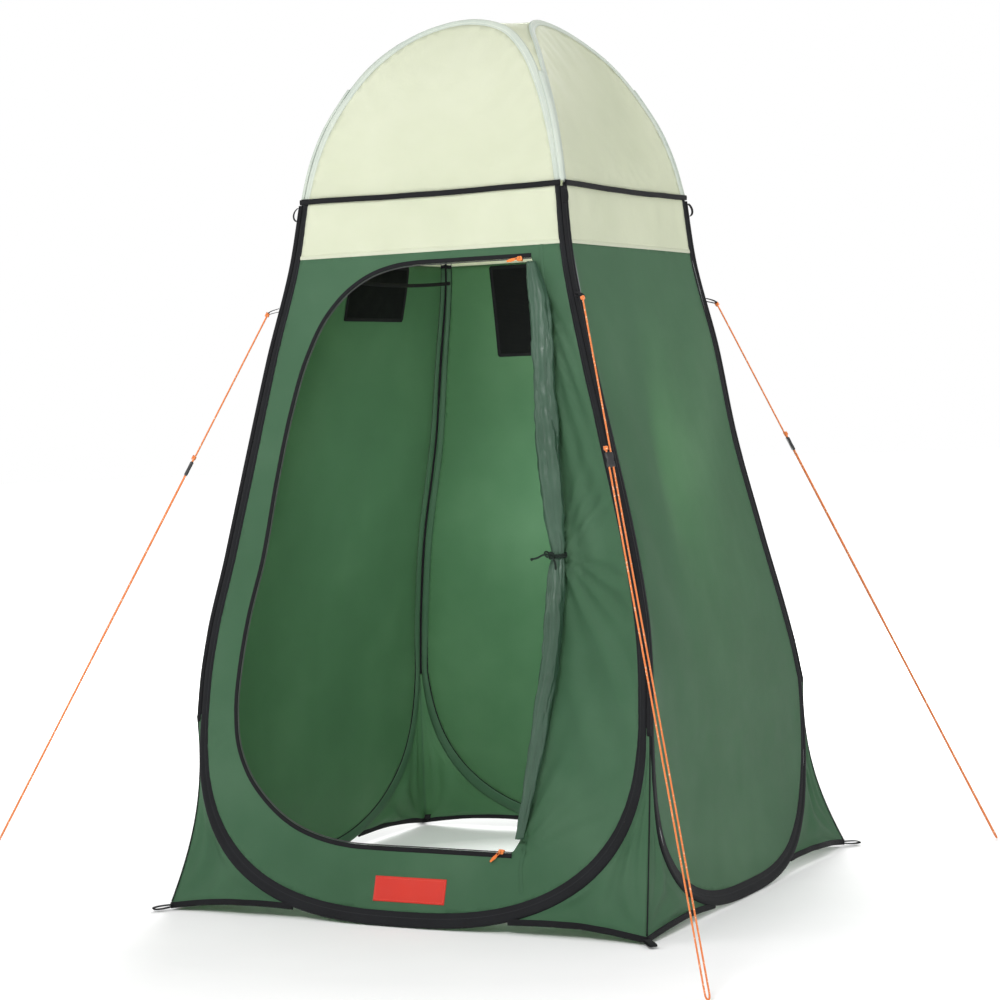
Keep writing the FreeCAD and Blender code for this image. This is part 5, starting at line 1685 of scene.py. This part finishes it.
def rounded_box(name, x0, x1, y0, y1, z0, z1, mat, w=.0006):
    vs = [(x, y, z) for x in (x0, x1) for y in (y0, y1) for z in (z0, z1)]
    fs = [(0, 1, 3, 2), (4, 6, 7, 5), (0, 4, 5, 1), (2, 3, 7, 6), (0, 2, 6, 4), (1, 5, 7, 3)]
    o = link(name, vs, fs, mat=mat)
    fix_normals(o)
    m = o.modifiers.new("sub", "SUBSURF")
    m.levels = m.render_levels = 2
    m.subdivision_type = "SIMPLE"
    apply_mods(o)
    return bevel(o, w, 3, 40)


def place_on_wall(o, x, z, flip):
    p, up, n = wall_frame(x, z)
    M = Matrix([(1, up[0] * flip, n[0], p[0]), (0, up[1] * flip, n[1], p[1]), (0, up[2] * flip, n[2], p[2]), (0, 0, 0, 1)])
    o.data.transform(M)
    if flip < 0:
        o.data.flip_normals()
    return o


for nm, flip, x, z, dx, dy in (("upper", 1, .238, 1.458, -.026, -.005), ("lower", -1, .240, .168, -.020, .020)):
    # slider: front shield narrowing to the closed end, back plate, bridge lug and pin
    def shield(name, z0, z1, y0, y1, wide, narrow):
        outl = []
        for t in np.linspace(0, 1, 10):
            yy = y0 + (y1 - y0) * t
            ww = narrow + (wide - narrow) * math.sin(math.pi * min(1, .18 + t * .75)) ** .8
            outl.append((ww, yy))
        pts = [(a, b) for a, b in outl] + [(-a, b) for a, b in outl[::-1]]
        K = len(pts)
        V_ = [(a, b, z0) for a, b in pts] + [(a, b, z1) for a, b in pts]
        F_ = [tuple(range(K - 1, -1, -1)), tuple(range(K, 2 * K))] + [(i, (i + 1) % K, K + (i + 1) % K, K + i) for i in range(K)]
        o = link(name, V_, F_, mat=M_SLIDER)
        fix_normals(o)
        return bevel(o, .0005, 3, 50)
    sl = [shield("sl_f", .0024, .0040, -.0068, .0040, .0068, .0034), shield("sl_b", -.0034, -.0020, -.0068, .0014, .0064, .0034),
          rounded_box("sl_br", -.0040, .0040, -.0068, -.0044, -.0032, .0038, M_SLIDER, .0004)]
    lug = sweep_points("sl_lug", bezier([(0, -.0042, .0040), (0, -.0046, .0074), (0, -.0030, .0092), (0, .0012, .0092), (0, .0028, .0074), (0, .0024, .0040)], 24), .0008, 8, M_SLIDER)
    sl.append(lug)
    pin = sweep_points("sl_pin", [(0, -.0042, .0066), (0, -.001, .0066), (0, .0024, .0066)], .0006, 10, M_SLIDER)
    sl.append(pin)
    s_o = join_objs("slider_" + nm, sl)
    place_on_wall(s_o, x, z, flip)
    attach(s_o, nm + "_slider"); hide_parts("zip_slider_" + nm)
    # pull: cord loop through the eye with a moulded grip
    L = math.hypot(dx, dy)
    ux, uy = dx / L, dy / L
    eye = sweep_points("pl_eye", [(.0013 * math.cos(t), -.0010, .0066 + .0013 * math.sin(t)) for t in np.linspace(0, 2 * math.pi, 17)], .00055, 8, M_PULL)
    loop_ = []
    for t in np.linspace(0, 2 * math.pi, 49):
        q = (.5 - .5 * math.cos(t))
        loop_.append((ux * q * .012 - uy * .0022 * math.sin(t) - .0012 * (1 - q), uy * q * .012 + ux * .0022 * math.sin(t) - .0010, .0066 + .0003 * math.sin(t)))
    lp_ = sweep_points("pl_loop", loop_, .00085, 8, M_PULL)
    grip = []
    secs = []
    for i in range(21):
        t = i / 20
        q = .0095 + t * (L + .004 - .0095)
        wd = .0026 + .0012 * math.sin(math.pi * min(1, t * 1.15)) + .0003 * math.sin(t * 38)
        hh = .00085 + .00045 * math.sin(math.pi * t)
        e_ = 1.0 if 0 < i < 20 else .45
        ring = []
        for k in range(16):
            a = 2 * math.pi * k / 16
            px, py = wd * e_ * math.cos(a), hh * e_ * math.sin(a)
            ring.append((ux * q - uy * px, uy * q + ux * px - .0010, .0066 + py))
        secs.append(ring)
    gr = tube_sections("pl_grip", np.array(secs), mat=M_PULL, uv=[(i * .001, k * .0005) for i in range(21) for k in range(16)])
    p_o = join_objs("pull_" + nm, [eye, lp_, gr])
    place_on_wall(p_o, x, z, flip)
    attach(p_o, nm + "_pull"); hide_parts("zip_pull_" + nm)

# =====================================================================
#  Plain label, towel strap
# =====================================================================
x0, x1, z0, z1 = LABEL
g = np.linspace(x0, x1, 60)
gz = np.linspace(z0, z1, 22)
A, Z = np.meshgrid(g, gz)
ed = np.minimum(np.minimum(A - x0, x1 - A), np.minimum(Z - z0, z1 - Z))
lift_ = .0011 + .0005 * smoothstep(ed, .0, .003) - .0004 * np.exp(-((ed - .004) / .0012) ** 2)
fl_ = wr_front(A, Z) * 0
_fl = front_lie(A.ravel(), Z.ravel()).reshape(A.shape)
P = surf("front", A, Z, _fl + lift_)
m = len(g)
faces = [(j * m + i, j * m + i + 1, (j + 1) * m + i + 1, (j + 1) * m + i) for j in range(len(gz) - 1) for i in range(m - 1)]
lab = link("plain_label", P.reshape(-1, 3), faces, uv=np.stack([A, Z], -1).reshape(-1, 2), mat=M_LABEL)
fix_normals(lab)
solidify(lab, .0007)
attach(lab, "tent"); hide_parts("label")
# stitches round the label's edge
M_THREAD = plastic("label_thread", (.60, .05, .03), (.75, .12, .08), .7)
st = []
ringl = resample(np.array([(x0 + .004, z0 + .004), (x1 - .004, z0 + .004), (x1 - .004, z1 - .004), (x0 + .004, z1 - .004), (x0 + .004, z0 + .004)]), .0036)
for i in range(0, len(ringl) - 1):
    a_, b_ = ringl[i], ringl[i] + (ringl[i + 1] - ringl[i]) * .62
    q = np.array([a_, (a_ + b_) / 2, b_])
    li = front_lie(q[:, 0], q[:, 1])
    pts = surf("front", q[:, 0], q[:, 1], li + np.array([.0016, .0021, .0016]))
    st.append(sweep_points("st", pts, .00028, 5, M_THREAD))
st = join_objs("label_stitches", st)
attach(st, "tent")

ts = bezier([(-.318, -.322, 1.452), (-.314, -.10, 1.430), (-.314, .10, 1.430), (-.312, .322, 1.446)], 60)
strap = ribbon("towel_webbing", [tuple(p) for p in ts], (0, 0, 1), .009, .0016, M_TAPE)
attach(strap, "tent"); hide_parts("towel_strap")

# =====================================================================
#  Carried-over CAD pieces, stage, light
# =====================================================================
for n in NODES.values():
    if n.name.startswith("hoop_") and not n.name.startswith("hoop_sleeve"):
        if len(n.material_slots):
            for s_ in n.material_slots:
                s_.material = M_STEEL
        else:
            n.data.materials.append(M_STEEL)

print("areas", json.dumps({k: round(v, 3) for k, v in areas.items()}))

fm, nt, p, out = nodes_of("floor")
tcn = nt.nodes.new("ShaderNodeTexCoord")
fn = noise_node(nt, tcn.outputs["Object"], 3.0, 3, .5)
nt.links.new(ramp(nt, fn.outputs["Fac"], [(.3, (.93, .93, .93)), (.7, (.95, .95, .95))]), p.inputs["Base Color"])
p.inputs["Roughness"].default_value = .9
p.inputs["Specular IOR Level"].default_value = .1
# the floor lightens into the white surround away from the tent
sq = nt.nodes.new("ShaderNodeVectorMath")
sq.operation = "LENGTH"
nt.links.new(tcn.outputs["Object"], sq.inputs[0])
backdrop_glow_and_painted_inner_light = nt.nodes.new("ShaderNodeEmission")
es = nt.nodes.new("ShaderNodeMath")
es.operation = "ADD"
nt.links.new(maprange(nt, sq.outputs["Value"], 1.1, 3.6, 0.0, .60), es.inputs[0])
# painted light: the floor glows inside the tent's footprint, which shows it white and lights the inside of the tent
nt.links.new(maprange(nt, sq.outputs["Value"], .34, .56, .42, 0.0), es.inputs[1])
nt.links.new(es.outputs[0], backdrop_glow_and_painted_inner_light.inputs["Strength"])
add = nt.nodes.new("ShaderNodeAddShader")
nt.links.new(p.outputs[0], add.inputs[0])
nt.links.new(backdrop_glow_and_painted_inner_light.outputs[0], add.inputs[1])
nt.links.new(add.outputs[0], out.inputs[0])
floor = link("floor", [(-40, -40, -.0005), (40, -40, -.0005), (40, 40, -.0005), (-40, 40, -.0005)], [(0, 1, 2, 3)], smooth=False, mat=fm)

w = bpy.data.worlds.new("world")
bpy.context.scene.world = w
w.use_nodes = True
bg = w.node_tree.nodes["Background"]
bg.inputs[0].default_value = (1, 1, 1, 1)
bg.inputs[1].default_value = .62


def area_light(name, loc, target, size, power, col=(1, 1, 1)):
    l = bpy.data.lights.new(name, "AREA")
    l.shape = "DISK"
    l.size = size
    l.energy = power
    l.color = col
    o = bpy.data.objects.new(name, l)
    bpy.context.scene.collection.objects.link(o)
    o.location = loc
    d = Vector(target) - Vector(loc)
    o.rotation_euler = d.to_track_quat("-Z", "Y").to_euler()
    return o


# a plain white surround, seen only by the camera, so that it adds no light
bm_ = bmesh.new()
bmesh.ops.create_icosphere(bm_, subdivisions=4, radius=36.0)
me_ = bpy.data.meshes.new("surround")
bm_.to_mesh(me_)
bm_.free()
sur = bpy.data.objects.new("surround", me_)
bpy.context.scene.collection.objects.link(sur)
sm_ = bpy.data.materials.new("surround")
sm_.use_nodes = True
sm_.node_tree.nodes.clear()
em_ = sm_.node_tree.nodes.new("ShaderNodeEmission")
em_.inputs[1].default_value = 1.0
oo_ = sm_.node_tree.nodes.new("ShaderNodeOutputMaterial")
sm_.node_tree.links.new(em_.outputs[0], oo_.inputs[0])
me_.materials.append(sm_)
for fl_name in ("visible_diffuse", "visible_glossy", "visible_transmission", "visible_volume_scatter", "visible_shadow"):
    setattr(sur, fl_name, False)

area_light("key", (1.2, -6.0, 4.8), (0, 0, 1.0), 2.2, 232)
area_light("side", (5.5, -1.5, 3.2), (0, 0, .8), 2.6, 50)
area_light("fill", (-5.0, -3.0, 3.0), (0, 0, 1.0), 3.0, 60)
area_light("back", (-1.7, 5.4, 3.2), (0, .3, 1.0), 3.5, 330)
# soft light under the dome, as its pale cloth lets the day in
il = area_light("inner", (.16, -.22, .95), (.10, .48, .80), .50, 6.0)
il.visible_camera = False
# plain white surround, with colours shown as they are
bpy.context.scene.view_settings.view_transform = "Standard"
bpy.context.scene.view_settings.look = "None"
